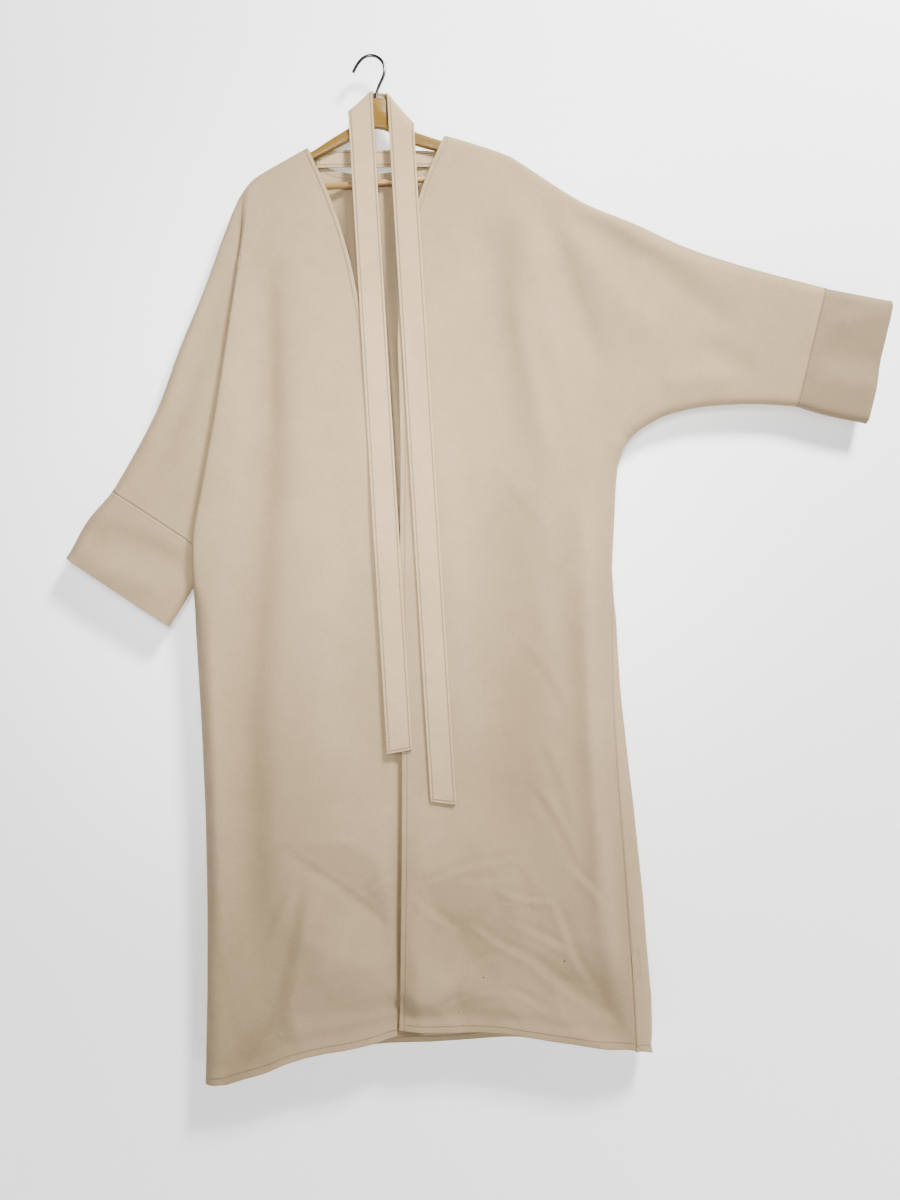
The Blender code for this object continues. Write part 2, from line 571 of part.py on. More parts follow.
def belt_grid():
    """The belt from one end over the hanger's neck to the other, (across, depth, drop)."""
    left, right = BELT_STRIPS
    rows = belt_strip_rows(left, 0, 1)[::-1]
    start = np.array(rows[-1])[:, [0, 2]]
    finish = np.array(belt_strip_rows(right, 1, -1)[0])[:, [0, 2]]
    for step in BELT_REAR_ROWS:
        places = start + (finish - start) * step
        gap = np.minimum(fold_distance(places, left), fold_distance(places, right))
        depth = BELT_TURN * rounded(gap + ON_THE_SEAM, BELT_TURN)
        rows.append([(place[0], y, place[1]) for place, y in zip(places, depth)])
    return np.array(rows + belt_strip_rows(right, 1, -1))


def fold_distance(places, strip):
    """Distance of places from the slanted line on which a strip turns."""
    rise = places[:, 1] - strip["turn"] - (places[:, 0] - strip["across"]) * strip["slope"]
    return np.abs(rise) / math.hypot(1.0, strip["slope"])


def belt_strip_rows(strip, number, hand):
    """Rows of one hanging strip, from its turn down to its end."""
    offsets = np.array(BELT_SHARES) * BELT_WIDTH * hand
    across = strip["across"] + offsets
    turn = strip["turn"] + offsets * strip["slope"]
    steep = math.hypot(1.0, strip["slope"])
    rows = []
    for step in BELT_TURN_ROWS:
        depth = BELT_TURN * rounded(step * BELT_TURN + ON_THE_SEAM, BELT_TURN)
        rows.append([(x, -float(depth), z + step * BELT_TURN * steep) for x, z in zip(across, turn)])
    low = max(place[2] for place in rows[-1])
    ends = strip["end"][0] + (strip["end"][1] - strip["end"][0]) * (offsets / BELT_WIDTH + 0.5)
    for drop in [drop for drop in BELT_ROWS if drop > low + 6] + [None]:
        drops = ends if drop is None else np.full(len(across), float(drop))
        depth = belt_strip_depth(drops, number)
        rows.append([(x, -float(y), float(z)) for x, y, z in zip(across, depth, drops)])
    return rows


# ------------------------------------------------------------------- strap
def strap_grid():
    """The flat strap behind the hanger's neck."""
    rows = []
    for across, middle, width in STRAP:
        rows.append([(across, STRAP_DEPTH, middle + width * share) for share in (-0.5, 0.0, 0.5)])
    return np.array(rows)


# ------------------------------------------------------------------ meshes
def close_seams(cloth):
    """Add the strip beside each seam, straight towards the other piece."""
    least = SEAM_HALF + SEAM_LIP
    edges = [edge for edge in cloth.edges if edge.is_boundary
             and all(abs(abs(vert.co.y) / MM - least) < 0.12 for vert in edge.verts)]
    if not edges:
        return
    grown = bmesh.ops.extrude_edge_only(cloth, edges=edges)["geom"]
    for vert in grown:
        if isinstance(vert, bmesh.types.BMVert):
            vert.co.y = math.copysign(SEAM_HALF * MM, vert.co.y)


def grid_faces(cloth, grid, is_ring=False):
    """Faces of a grid of (across, depth, drop); a ring's last column joins its first."""
    rows, columns = grid.shape[:2]
    made = [[cloth.verts.new((grid[i, j, 0] * MM, grid[i, j, 1] * MM, -grid[i, j, 2] * MM))
             for j in range(columns)] for i in range(rows)]
    for i in range(rows - 1):
        for j in range(columns if is_ring else columns - 1):
            after = (j + 1) % columns
            cloth.faces.new((made[i][j], made[i + 1][j], made[i + 1][after], made[i][after]))


def add_sheet(name, grids, collection, wall=CLOTH, is_ring=False, is_seamed=True):
    """Cloth of one piece: grids joined where they share places, then given its wall."""
    mesh = bpy.data.meshes.new(name)
    cloth = bmesh.new()
    for grid in grids:
        grid_faces(cloth, grid, is_ring)
    if is_seamed:
        bmesh.ops.remove_doubles(cloth, verts=cloth.verts, dist=MERGE * MM)
        bmesh.ops.dissolve_degenerate(cloth, dist=0.00001, edges=cloth.edges)
        bmesh.ops.recalc_face_normals(cloth, faces=cloth.faces)
        close_seams(cloth)
        bmesh.ops.remove_doubles(cloth, verts=cloth.verts, dist=0.0001)
    bmesh.ops.recalc_face_normals(cloth, faces=cloth.faces)
    cloth.to_mesh(mesh)
    cloth.free()
    piece = bpy.data.objects.new(name, mesh)
    collection.objects.link(piece)
    solid = piece.modifiers.new("Wall", "SOLIDIFY")
    solid.thickness = wall * MM
    solid.offset = 0.0
    solid.use_even_offset = True
    solid.use_quality_normals = True
    mesh.shade_smooth()
    return piece


def add_flat_curve(name, outline, wall, edge, collection):
    """Plate of a 2D outline, (across, drop), with rounded rims."""
    curve = bpy.data.curves.new(name, "CURVE")
    curve.dimensions = "2D"
    curve.fill_mode = "BOTH"
    curve.extrude = (wall / 2 - edge) * MM
    curve.bevel_depth = edge * MM
    curve.bevel_resolution = 1
    curve.offset = -edge * MM
    spline = curve.splines.new("POLY")
    spline.points.add(len(outline) - 1)
    for point, (across, drop) in zip(spline.points, outline):
        point.co = (across * MM, -drop * MM, 0.0, 1.0)
    spline.use_cyclic_u = True
    piece = bpy.data.objects.new(name, curve)
    piece.rotation_euler = (math.pi / 2, 0.0, 0.0)
    piece.modifiers.new("Joined", "WELD").merge_threshold = 0.00001
    collection.objects.link(piece)
    return piece


def add_wire(name, places, diameter, collection):
    """Round wire through places in the hanger's plane."""
    curve = bpy.data.curves.new(name, "CURVE")
    curve.dimensions = "3D"
    curve.bevel_depth = diameter / 2 * MM
    curve.bevel_resolution = 2
    curve.use_fill_caps = True
    spline = curve.splines.new("POLY")
    spline.points.add(len(places) - 1)
    for point, (across, drop) in zip(spline.points, places):
        point.co = (across * MM, 0.0, -drop * MM, 1.0)
    piece = bpy.data.objects.new(name, curve)
    piece.modifiers.new("Joined", "WELD").merge_threshold = 0.00001
    collection.objects.link(piece)
    return piece


# ------------------------------------------------------------------ hanger
def arc(centre, radius, start, end, steps):
    """Places round an arc; degrees turn from +X towards up."""
    angles = np.radians(np.linspace(start, end, steps))
    return [(centre[0] + radius * math.cos(a), centre[1] - radius * math.sin(a)) for a in angles]


def wood_outline():
    """Outline of the flat wooden yoke."""
    left, right = NECK_SIDES
    corner = NECK_TOP + NECK_CORNER
    outline = [tuple(place) for place in along(ARM_TOP_LEFT, np.linspace(0, 1, 14))]
    outline += arc((left + NECK_CORNER, corner), NECK_CORNER, 180, 90, 6)
    outline += arc((right - NECK_CORNER, corner), NECK_CORNER, 90, 0, 6)
    outline += [tuple(place) for place in along(ARM_TOP_RIGHT, np.linspace(0, 1, 15))]
    outline += [(ARM_TOP_RIGHT[-1][0], LUG_BOTTOM_RIGHT), (BAR_RIGHT[0], LUG_BOTTOM_RIGHT)]
    outline += [tuple(place) for place in along(ARM_UNDER_RIGHT, np.linspace(0, 1, 14))]
    outline += [tuple(place) for place in along(ARM_UNDER_LEFT, np.linspace(0, 1, 14)[1:])]
    outline += [(BAR_LEFT[0], LUG_BOTTOM_LEFT), (ARM_TOP_LEFT[0][0], LUG_BOTTOM_LEFT)]
    return outline


def hook_places():
    """Middle of the hook's wire, from its tip to the wood."""
    centre = (0.0, HOOK_RADIUS - WIRE_DIAMETER / 2)
    places = arc(centre, HOOK_RADIUS, *HOOK_TURN, 20)
    places += [tuple(place) for place in along([places[-1]] + HOOK_STEM, np.linspace(0, 1, 9)[1:])]
    places.append((STEM_ACROSS, NECK_TOP - CONTACT))
    return places


def add_bar(collection):
    """Round bar between the lugs at the arm ends."""
    left = np.array(BAR_LEFT) + (CONTACT, 0.0)
    right = np.array(BAR_RIGHT) - (CONTACT, 0.0)
    middle = (left + right) / 2
    run = right - left
    bpy.ops.mesh.primitive_cylinder_add(
        vertices=20, radius=BAR_DIAMETER / 2 * MM, depth=np.linalg.norm(run) * MM,
        location=(middle[0] * MM, 0.0, -middle[1] * MM),
        rotation=(0.0, math.pi / 2 + math.atan2(run[1], run[0]), 0.0))
    bar = bpy.context.object
    bar.name = "hanger_bar"
    bar.data.shade_smooth()
    bar.data.set_sharp_from_angle(angle=math.radians(40))
    for owner in list(bar.users_collection):
        owner.objects.unlink(bar)
    collection.objects.link(bar)
    return bar


def add_material(piece, name, colour, roughness, metallic=0.0):
    material = bpy.data.materials.get(name)
    if material is None:
        material = bpy.data.materials.new(name)
        material.use_nodes = True
        shader = material.node_tree.nodes["Principled BSDF"]
        shader.inputs["Base Color"].default_value = (*colour, 1.0)
        shader.inputs["Roughness"].default_value = roughness
        shader.inputs["Metallic"].default_value = metallic
    piece.data.materials.append(material)


def add_cloth_pieces(cloak):
    """Every piece of the garment."""
    left_half = [float(smooth(HALF_DEPTH, DEPTH_AT["sleeve"], 730)), 12.5]
    right_half = [RAISED_DEPTH, RAISED_DEPTH + 1.0]
    cuff_right = cuff_rings([UNDERARM_LEFT[-1], OVERARM_LEFT[-1]], CUFF_LEFT_END, *left_half,
                            HANGING_CUFF_COLUMNS)
    cuff_left = cuff_rings([UNDERARM_RIGHT[-1], OVERARM_RIGHT[-1]], CUFF_RIGHT_END, *right_half,
                           SLEEVE_COLUMNS)
    return [add_sheet("front_right", hanging_half(True), cloak),
            add_sheet("front_left", raised_half(True), cloak),
            add_sheet("back", hanging_half(False) + raised_half(False), cloak),
            add_sheet("cuff_right", [cuff_right], cloak, is_ring=True, is_seamed=False),
            add_sheet("cuff_left", [cuff_left], cloak, is_ring=True, is_seamed=False),
            add_sheet("belt", [belt_grid()], cloak, wall=BELT_WALL, is_seamed=False),
            add_sheet("neck_strap", [strap_grid()], cloak, wall=STRAP_WALL, is_seamed=False)]


def main():
    for old in list(bpy.data.objects):
        bpy.data.objects.remove(old, do_unlink=True)
    cloak = bpy.data.collections.new("abaya_cloak")
    bpy.context.scene.collection.children.link(cloak)
    for piece in add_cloth_pieces(cloak):
        add_material(piece, "felted_cloth", (0.68, 0.56, 0.44), 0.95)
    wood = add_flat_curve("hanger_wood", wood_outline(), WOOD_WALL, WOOD_EDGE, cloak)
    add_material(wood, "varnished_wood", (0.62, 0.38, 0.13), 0.35)
    add_material(add_bar(cloak), "pale_wood", (0.72, 0.52, 0.30), 0.5)
    hook = add_wire("hanger_hook", hook_places(), WIRE_DIAMETER, cloak)
    add_material(hook, "chrome", (0.60, 0.60, 0.62), 0.15, 1.0)


main()
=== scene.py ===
"""Abaya cloak of thick felted cloth, hung by a wooden coat hanger with its belt over the neck."""

import math

import bmesh
import bpy
import numpy as np
from mathutils import Matrix, Vector
from mathutils.geometry import delaunay_2d_cdt
from mathutils.kdtree import KDTree


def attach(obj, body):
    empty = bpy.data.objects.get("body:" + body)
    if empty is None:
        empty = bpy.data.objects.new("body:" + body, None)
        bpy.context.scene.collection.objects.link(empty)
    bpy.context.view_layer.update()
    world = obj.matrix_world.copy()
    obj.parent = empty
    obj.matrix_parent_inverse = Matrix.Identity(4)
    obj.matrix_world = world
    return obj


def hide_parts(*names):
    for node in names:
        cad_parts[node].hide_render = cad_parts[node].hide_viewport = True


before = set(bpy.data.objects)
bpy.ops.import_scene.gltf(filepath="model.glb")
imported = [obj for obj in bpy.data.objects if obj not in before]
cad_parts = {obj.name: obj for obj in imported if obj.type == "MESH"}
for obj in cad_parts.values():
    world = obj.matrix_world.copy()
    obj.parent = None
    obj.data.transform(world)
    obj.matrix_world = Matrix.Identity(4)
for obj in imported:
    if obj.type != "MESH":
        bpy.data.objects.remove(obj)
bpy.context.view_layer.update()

# Places are (across, drop) in millimetres, seen from the front: drop is measured down from the
# inside of the hook's top. Depth is toward the wall.
MM = 0.001
WALLS = {"belt": 3.6, "neck_strap": 2.2}   # thickness of the solids' walls, and that of the rest
WALL = 2.4
FRONT_MOST = -43.0         # folds that stand out further are pressed back
FRONT_ROOM = 8.0
FAR = 99.0                 # gaps to a rim are measured up to here

# cloth finish
RIM_ROUND = 0.8            # radius of a turned edge
RIM_TURN = math.radians(48)      # the wall's faces turn more than this at a rim
CORNER_TURN = math.radians(32)   # and a rim more than this at a corner
HEM_BAND = 10.0            # turned hem, to its stitching
EDGE_BAND = 7.0            # turned front edge, to its stitching
BELT_BAND = 4.0
NECK_LINES = (4.5, 11.0, 18.0)
TURNED_LIFT = 0.5          # extra thickness of a turned band
HEM_KICK = 3.4             # hollow above the stiff hem, and where it lies
HEM_KICK_AT, HEM_KICK_WIDE = 26.0, 12.0
FRONTS, STRAPS = ("front_right", "front_left"), ("belt", "neck_strap")
HEM_ZONE = 1400.0          # the hem lies below this drop, the neckline above NECK_ZONE
NECK_ZONE = 260.0
STITCH_PITCH = 3.8
STITCH_LONG = 2.7
STITCH_WIDE = 0.7
STITCH_SIDES = 5
STITCH_SLANT = 0.1
STITCH_RISE, STITCH_DIP = 0.24, 0.9   # a stitch's middle stands out, its ends go in

# seams: rims this near each other are sewn, and lie this far apart once drawn together
SEAM_REACH = 4.5
SEAM_GAP = 0.05
SEAM_DRAW = 20.0           # the cloth follows a drawn seam over this
SEAM_CALM = 45.0           # folds die out this near a seam
SEWN_TO = {"front_right": ["back", "cuff_right"], "front_left": ["back", "cuff_left"],
           "back": ["front_right", "front_left", "cuff_right", "cuff_left"],
           "cuff_right": ["front_right", "back"], "cuff_left": ["front_left", "back"],
           "belt": ["cuff_left"], "neck_strap": ["cuff_left"]}

# longest side of a face before smoothing, and the share of it for rows below LOW_ROWS
LONGEST = {"front_right": 23.5, "front_left": 21.0, "back": 35.0, "cuff_right": 16.0, "cuff_left": 16.0,
           "belt": 18.0, "neck_strap": 12.0}
LOW_ROWS = 1180.0
CLOSE_ROWS = {"front_right": 0.65, "front_left": 0.65}

# the belt behind the neck of the hanger: its rise, the middle, half width and drop of that
BELT_ARCH, BELT_ARCH_AT, BELT_ARCH_WIDE, BELT_ARCH_END = 4.5, 14.0, 13.0, 78.0

FOLD_REACH = 2.6           # how many times its width a fold reaches
FOLD_ENDS = 0.3            # share of its length over which it rises at each end
BROAD = 16                 # folds wider than this are deeper
BROAD_GAIN, FINE_GAIN = 2.3, 1.5
# folds of the fronts: width, height out of the cloth, places it runs through, and for a crease
# the step up toward its left as it runs
FRONT_FOLDS = [
    (34, -7.0, [(-176, 206), (-196, 430), (-204, 606), (-228, 797), (-248, 955), (-262, 1050),
                (-268, 1178), (-268, 1400), (-262, 1560)]),
    (17, -1.6, [(-182, 300), (-188, 470), (-194, 640)]),
    (18, 2.2, [(-295, 791), (-308, 918), (-312, 1111), (-321, 1334), (-331, 1494)]),
    (40, 2.5, [(-120, 700), (-130, 900), (-150, 1100), (-160, 1260)]),
    (36, -4.0, [(180, 219), (176, 390), (184, 562), (196, 717)]),
    (58, -6.5, [(196, 600), (166, 760), (146, 1000), (148, 1200), (166, 1330), (190, 1450)]),
    (24, 6.8, [(304, 640), (292, 800), (288, 960), (287, 1120), (290, 1280), (297, 1440), (310, 1600)]),
    (20, 2.2, [(206, 330), (214, 470), (240, 620), (262, 740)]),
    (26, 2.0, [(235, 247), (248, 437), (288, 619), (309, 701)]),
    (22, -2.8, [(244, 222), (280, 335), (322, 484), (354, 590)]),
    (30, 2.5, [(287, 275), (377, 428), (472, 519)]),
    (26, -3.4, [(266, 225), (343, 305), (449, 381), (506, 436), (590, 500)]),
    (22, -1.6, [(484, 500), (528, 522), (598, 545)]),
    (24, 2.0, [(420, 560), (488, 556), (560, 545)]),
    (40, 2.4, [(110, 700), (100, 860), (96, 1026), (96, 1170)]),
    (17, 0.8, [(236, 660), (222, 780), (214, 900), (222, 1020)]),
    (20, 1.4, [(70, 300), (64, 460), (70, 640), (84, 800)]),
    (12, 0.2, [(150, 660), (190, 730), (226, 780), (258, 850)], 0.5),
    (11, 0.1, [(170, 940), (216, 1000), (256, 1090)], 0.5),
    (11, 0.1, [(196, 1090), (228, 1180), (246, 1280)], 0.6),
    (10, 0.2, [(176, 1170), (206, 1215), (236, 1275), (250, 1330)], 0.7),
    (8, 0.1, [(60, 1116), (104, 1108), (160, 1112)], -0.3),
    (8, 0, [(-26, 1334), (20, 1318), (64, 1306), (106, 1297), (170, 1292)], -0.7),
    (7, 0, [(42, 1320), (80, 1328), (112, 1330), (150, 1320)], -0.4),
    (7, 0.2, [(106, 1330), (140, 1353), (170, 1363), (220, 1364)], -0.7),
    (8, 0, [(-26, 1322), (4, 1363), (30, 1390), (60, 1410)], -0.7),
    (7, 0, [(44, 1408), (72, 1396), (96, 1382), (126, 1356)], -0.5),
    (8, 0.2, [(66, 1390), (96, 1412), (118, 1432), (150, 1446), (172, 1456)], -0.8),
    (8, 0.2, [(132, 1394), (168, 1410), (194, 1424), (234, 1452)], -0.8),
    (11, 0, [(118, 1430), (162, 1450), (190, 1480), (222, 1512), (256, 1542), (304, 1570)], -1.1),
    (9, 0, [(202, 1348), (216, 1396), (226, 1432), (240, 1474), (266, 1516)], -1.1),
    (8, 0.2, [(226, 1300), (254, 1332), (276, 1356), (292, 1390)], -0.7),
    (7, 0, [(38, 1520), (50, 1480), (66, 1460), (94, 1450), (140, 1444)], -0.7),
    (7, 0, [(24, 1520), (62, 1505), (92, 1501), (126, 1502)], -0.7),
    (8, 0, [(112, 1496), (150, 1512), (172, 1532), (202, 1550)], -0.7),
    (30, 2.6, [(-60, 1490), (0, 1496), (44, 1486), (90, 1450)]),
    (20, -2.6, [(-74, 1552), (-24, 1542), (18, 1545), (52, 1524), (90, 1488)]),
    (30, -1.0, [(230, 1470), (262, 1512), (296, 1545)]),
    (17, -2.7, [(-96, 1514), (-50, 1516), (-16, 1520), (10, 1522), (30, 1510), (44, 1488)]),
    (9, 0, [(-230, 1240), (-196, 1268), (-154, 1300), (-103, 1341), (-70, 1372), (-40, 1404)], 0.7),
    (7, 0, [(-116, 1346), (-88, 1333), (-66, 1320), (-36, 1302)], -0.9),
    (16, 0, [(-164, 1280), (-182, 1340), (-196, 1390), (-214, 1445), (-226, 1494), (-236, 1550)], 0.5),
    (20, 1.2, [(-139, 1340), (-152, 1410), (-178, 1490)]),
    (10, 0, [(-90, 876), (-118, 930), (-141, 974), (-160, 1040)], 0.5),
    (11, 0, [(-206, 1320), (-232, 1360), (-250, 1404)], 0.7),
    (24, -1.7, [(-318, 1588), (-284, 1560), (-248, 1544), (-206, 1536)]),
    (26, -2.6, [(-256, 297), (-320, 501), (-376, 626), (-396, 688)]),
    (18, 1.6, [(-300, 330), (-356, 490), (-420, 610)]),
    # cuffs
    (24, -2.4, [(-530, 742), (-462, 748), (-400, 773), (-330, 790)]),
    (22, 1.8, [(-516, 784), (-440, 812), (-360, 850)]),
    (28, -2.2, [(640, 500), (713, 526), (820, 556)]),
    (26, 2.0, [(650, 556), (720, 566), (800, 600)]),
    (20, 1.4, [(660, 470), (739, 476), (830, 470)]),
]
# broad facets of the crumpled lower fronts: lines of (across, drop, height)
FACETS = {"front_left": [
    [(-70, 1180, 0), (30, 1186, 0), (120, 1180, 0), (205, 1186, 0), (330, 1180, 0)],
    [(-70, 1300, 1.5), (-24, 1302, 2.6), (60, 1233, 1.0), (120, 1180, 0)],
    [(-24, 1302, 2.6), (5, 1326, 0.2), (60, 1309, 0.2), (105, 1298, 1.0), (150, 1296, 1.4), (205, 1240, 1.0)],
    [(5, 1326, 0.2), (22, 1364, -1.6), (50, 1402, -3.0), (85, 1390, -1.4), (115, 1368, -0.2),
     (140, 1352, 1.6), (165, 1362, 0.6), (200, 1366, 1.6)],
    [(50, 1402, -3.0), (86, 1408, -1.6), (125, 1438, -0.4), (150, 1449, 0.4), (200, 1490, -1.4),
     (250, 1540, -2.4), (296, 1564, -3.0)],
    [(-70, 1410, 1.0), (-28, 1420, 1.4), (50, 1402, -3.0)],
    [(150, 1405, 0.2), (185, 1418, -0.2), (215, 1436, 1.4)],
    [(44, 1500, 1.0), (60, 1466, -0.8), (76, 1456, -1.2), (125, 1438, -0.4)],
    [(-70, 1500, 3.0), (0, 1500, 4.2), (44, 1500, 1.0), (110, 1500, 1.8), (170, 1530, 0.6), (205, 1556, 2.2)],
    [(215, 1386, 0.8), (226, 1430, 1.8), (240, 1472, 0.4), (262, 1506, -2.0)],
    [(245, 1324, 1.2), (276, 1356, 2.6), (290, 1440, 3.4), (330, 1500, 2.0)],
    [(-70, 1640, 0), (60, 1600, 0.5), (150, 1560, 2.6), (250, 1590, 3.0), (330, 1640, 1.0)],
], "front_right": [
    [(-360, 1190, 0), (-240, 1200, 0), (-130, 1190, 0), (20, 1200, 0)],
    [(-224, 1246, 0.6), (-154, 1299, -0.4), (-103, 1340, -0.9), (-40, 1402, -1.2), (20, 1440, -0.8)],
    [(-110, 1252, 1.7), (-62, 1288, 2.1), (20, 1290, 0.8)],
    [(-92, 1334, -0.4), (-62, 1318, 1.6), (-30, 1300, 1.6)],
    [(-184, 1300, 0), (-212, 1400, -0.8), (-240, 1490, -1.1), (-262, 1548, -1.8), (-306, 1588, -1.8)],
    [(-166, 1306, 0.4), (-192, 1400, 1.3), (-214, 1486, 1.2), (-222, 1520, 0.5)],
    [(-140, 1430, 4.0), (-90, 1450, 3.0), (-100, 1522, 0.4), (-40, 1520, -0.5), (20, 1520, 0)],
    [(-360, 1640, 0), (-290, 1622, 2.4), (-200, 1592, 3.2), (-100, 1576, 2.6), (20, 1600, 0)],
]}
FACET_ROUND = 3.0          # their edges are rounded this far, at this many places
FACET_TURNS = 6
FACET_GAIN = 3.6
# the lap's edge, where the facets die out, and the hollow of the front under it
LAP_EDGE = [(-8, 800), (-14, 900), (-20, 1116), (-36, 1340), (-52, 1600)]
LAP_CALM = 38.0
LAP_HOLLOW = [(9, -4.2, LAP_EDGE)]
# folds of the back
BACK_FOLDS = [
    (12, 5.0, [(-22, 140), (-28, 330), (-22, 520), (-12, 700)]),
    (10, -5.5, [(4, 140), (0, 330), (2, 500), (6, 640)]),
    (12, 5.5, [(32, 140), (27, 340), (22, 520), (14, 720)]),
    (12, -5.0, [(-54, 150), (-50, 360), (-40, 600)]),
    (12, 4.0, [(-84, 170), (-78, 300), (-66, 480)]),
    (26, -6, [(-176, 215), (-186, 420), (-196, 640), (-214, 860), (-226, 1120), (-222, 1380)]),
    (27, -6, [(190, 225), (200, 410), (214, 620), (236, 840), (252, 1080), (262, 1320), (280, 1520)]),
    (24, 3, [(150, 300), (140, 620), (150, 980), (170, 1300)]),
    (24, 3, [(-140, 300), (-128, 640), (-140, 1000), (-150, 1330)]),
    (26, -4, [(262, 225), (350, 320), (450, 400), (560, 470)]),
    (24, 2.5, [(285, 290), (370, 430), (460, 520)]),
    (22, -3.5, [(240, 230), (285, 350), (325, 500), (352, 600)]),
    (14, -2.2, [(470, 570), (520, 555), (575, 560)]),
    (16, 2.2, [(-40, 1240), (40, 1290), (130, 1310)]),
    (9, -1.6, [(60, 1350), (120, 1385), (190, 1390)]),
    (12, -2.6, [(-190, 1290), (-130, 1340), (-60, 1400)]),
    (9, 1.5, [(-90, 1470), (-20, 1440), (50, 1450)]),
    (14, -3, [(170, 1440), (215, 1490), (262, 1550)]),
    (13, -3.4, [(-300, 1560), (-250, 1540), (-200, 1548)]),
    (12, 2.2, [(-120, 1540), (-40, 1552), (60, 1545)]),
    (10, -1.5, [(100, 1130), (150, 1175), (190, 1235)]),
    (26, -3, [(-270, 310), (-330, 520), (-385, 660)]),
    (18, -2.5, [(-490, 740), (-430, 760), (-370, 790)]),
    (20, -2.5, [(680, 500), (730, 530), (780, 520)]),
]
# the back's side strip bellies out past its seam: drop, and how far
SIDE_BELLY = [(850, 0), (895, 4.8), (930, 9), (1000, 11.5), (1060, 14), (1120, 15.5), (1215, 17.5),
              (1375, 17.5), (1450, 15), (1534, 14), (1575, 11), (1600, 7), (1612, 4), (1622, 1)]
BELLY_FROM = 200.0         # on the side past this
BELLY_STRIP = 12.0         # width over which it grows from the seam
BELLY_END, BELLY_FADE = 95.0, 70.0
BELLY_SEAM, BELLY_SEAM_FADE = 3.0, 60.0   # as far as the seam and the front beside it go with it
# the hem's rise over its plain line: across, and how far
HEM_RISE = [(-359, -2.5), (-327, -6), (-295, -1.6), (-262, 1.6), (-229, 9), (-197, 11), (-164, 11),
            (-132, 8), (-100, 6.4), (-68, 6.4), (-36, 5), (-4, 3.2), (124, 3.8), (188, 0.8), (220, 1.6),
            (252, 4.8), (300, 6), (330, 5), (346, -2)]
HEM_RISE_FROM, HEM_RISE_RUN = 1480.0, 120.0
# how much further it rises on the upper front
LAP_RISE = [(-60, 13), (-32, 10), (28, 6.5), (60, 4.5), (150, 5), (188, 6), (220, 6.5), (252, 2.5),
            (290, 0)]
# where the outline sags or swells: across, drop, reach, moved across, moved down
NUDGES = [(398, 302, 70, 0, -8), (690, 618, 75, 0, 6), (-496, 716, 45, -9, 0), (-365, 530, 70, 4.5, 0)]
# middle of the hook's wire from its tip, which flares out, to the wood
HOOK_PATH = [(-28.5, 25.5), (-27.0, 22.0), (-23.4, 16.0), (-19.8, 8.5), (-13.5, 1.6), (-6.5, -1.7),
             (0.0, -2.4), (7.5, -1.6), (15.5, 3.2), (21.8, 11.0), (25.2, 21.5), (24.0, 31.0),
             (19.0, 39.8), (12.3, 47.0), (6.6, 53.0), (4.4, 60.0), (4.2, 73.0)]
HOOK_WIRE = 5.0
# middle of the dowel: across, drop of each end
DOWEL_ENDS = [(-185.5, 208.5), (197.5, 203.5)]
DOWEL = 10.0
DOWEL_TIP = 0.5
TIP_TURNS = (0.35, 0.8, 1.2)   # rings of a rod's rounded tip, in radians
ARCH_EDGE = 1.0            # the arch's edges are eased this far
# slow unevenness of the hanging cloth: wave length across, down, height
UNEVEN = [(310, 900, 0.9), (170, 420, 0.6), (240, 260, 0.5), (95, 310, 0.35), (140, 150, 0.3)]
# small dark specks of lint: across, drop, size
SPECKS = [(88.0, 1478.0, 1.8), (217.0, 1460.0, 2.1), (46.0, 1532.0, 1.4), (-33.0, 1092.0, 1.3)]


# ------------------------------------------------------------------- helpers
def ease(value):
    """Smooth step from 0 to 1."""
    value = np.clip(value, 0.0, 1.0)
    return value * value * (3.0 - 2.0 * value)


def select_only(*pieces):
    bpy.ops.object.select_all(action="DESELECT")
    for piece in pieces:
        piece.select_set(True)
    bpy.context.view_layer.objects.active = pieces[0]


def in_edit_mode(piece, *steps):
    """Runs operators on all of a piece."""
    select_only(piece)
    bpy.ops.object.mode_set(mode="EDIT")
    bpy.ops.mesh.select_all(action="SELECT")
    for step, settings in steps:
        step(**settings)
    bpy.ops.object.mode_set(mode="OBJECT")


def new_piece(name, mesh):
    piece = bpy.data.objects.new(name, mesh)
    bpy.context.collection.objects.link(piece)
    return piece


def tube_faces(first, rings, sides):
    """Faces of a closed tube whose rings of vertices follow each other from the first."""
    faces = []
    for low in range(first, first + (rings - 1) * sides, sides):
        for k in range(sides):
            after = (k + 1) % sides
            faces.append((low + k, low + after, low + sides + after, low + sides + k))
    last = first + (rings - 1) * sides
    return faces + [tuple(first + k for k in reversed(range(sides))), tuple(last + k for k in range(sides))]


def closed_piece(name, vertices, faces):
    """A smooth piece from places in metres, with its faces turned outwards."""
    mesh = bpy.data.meshes.new(name)
    mesh.from_pydata(vertices, [], faces)
    piece = new_piece(name, mesh)
    in_edit_mode(piece, (bpy.ops.mesh.normals_make_consistent, {"inside": False}))
    bpy.ops.object.shade_smooth()
    return piece


def solid_copy(node, name, *steps):
    """A copy of a node's solid with its doubles merged, and then the given operators."""
    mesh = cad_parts[node].data.copy()
    mesh.materials.clear()
    piece = new_piece(name, mesh)
    in_edit_mode(piece, (bpy.ops.mesh.remove_doubles, {"threshold": 0.00001}), *steps)
    for mark in ("custom_normal", "sharp_edge", "sharp_face"):
        if mark in mesh.attributes:
            mesh.attributes.remove(mesh.attributes[mark])
    return piece


def eased(piece, width, segments, angle):
    """Rounds the edges of a piece that are sharper than an angle in degrees."""
    bevel = piece.modifiers.new("Eased", "BEVEL")
    bevel.width = width * MM
    bevel.segments = segments
    bevel.limit_method = "ANGLE"
    bevel.angle_limit = math.radians(angle)
    select_only(piece)
    bpy.ops.object.modifier_apply(modifier=bevel.name)
    bpy.ops.object.shade_smooth()


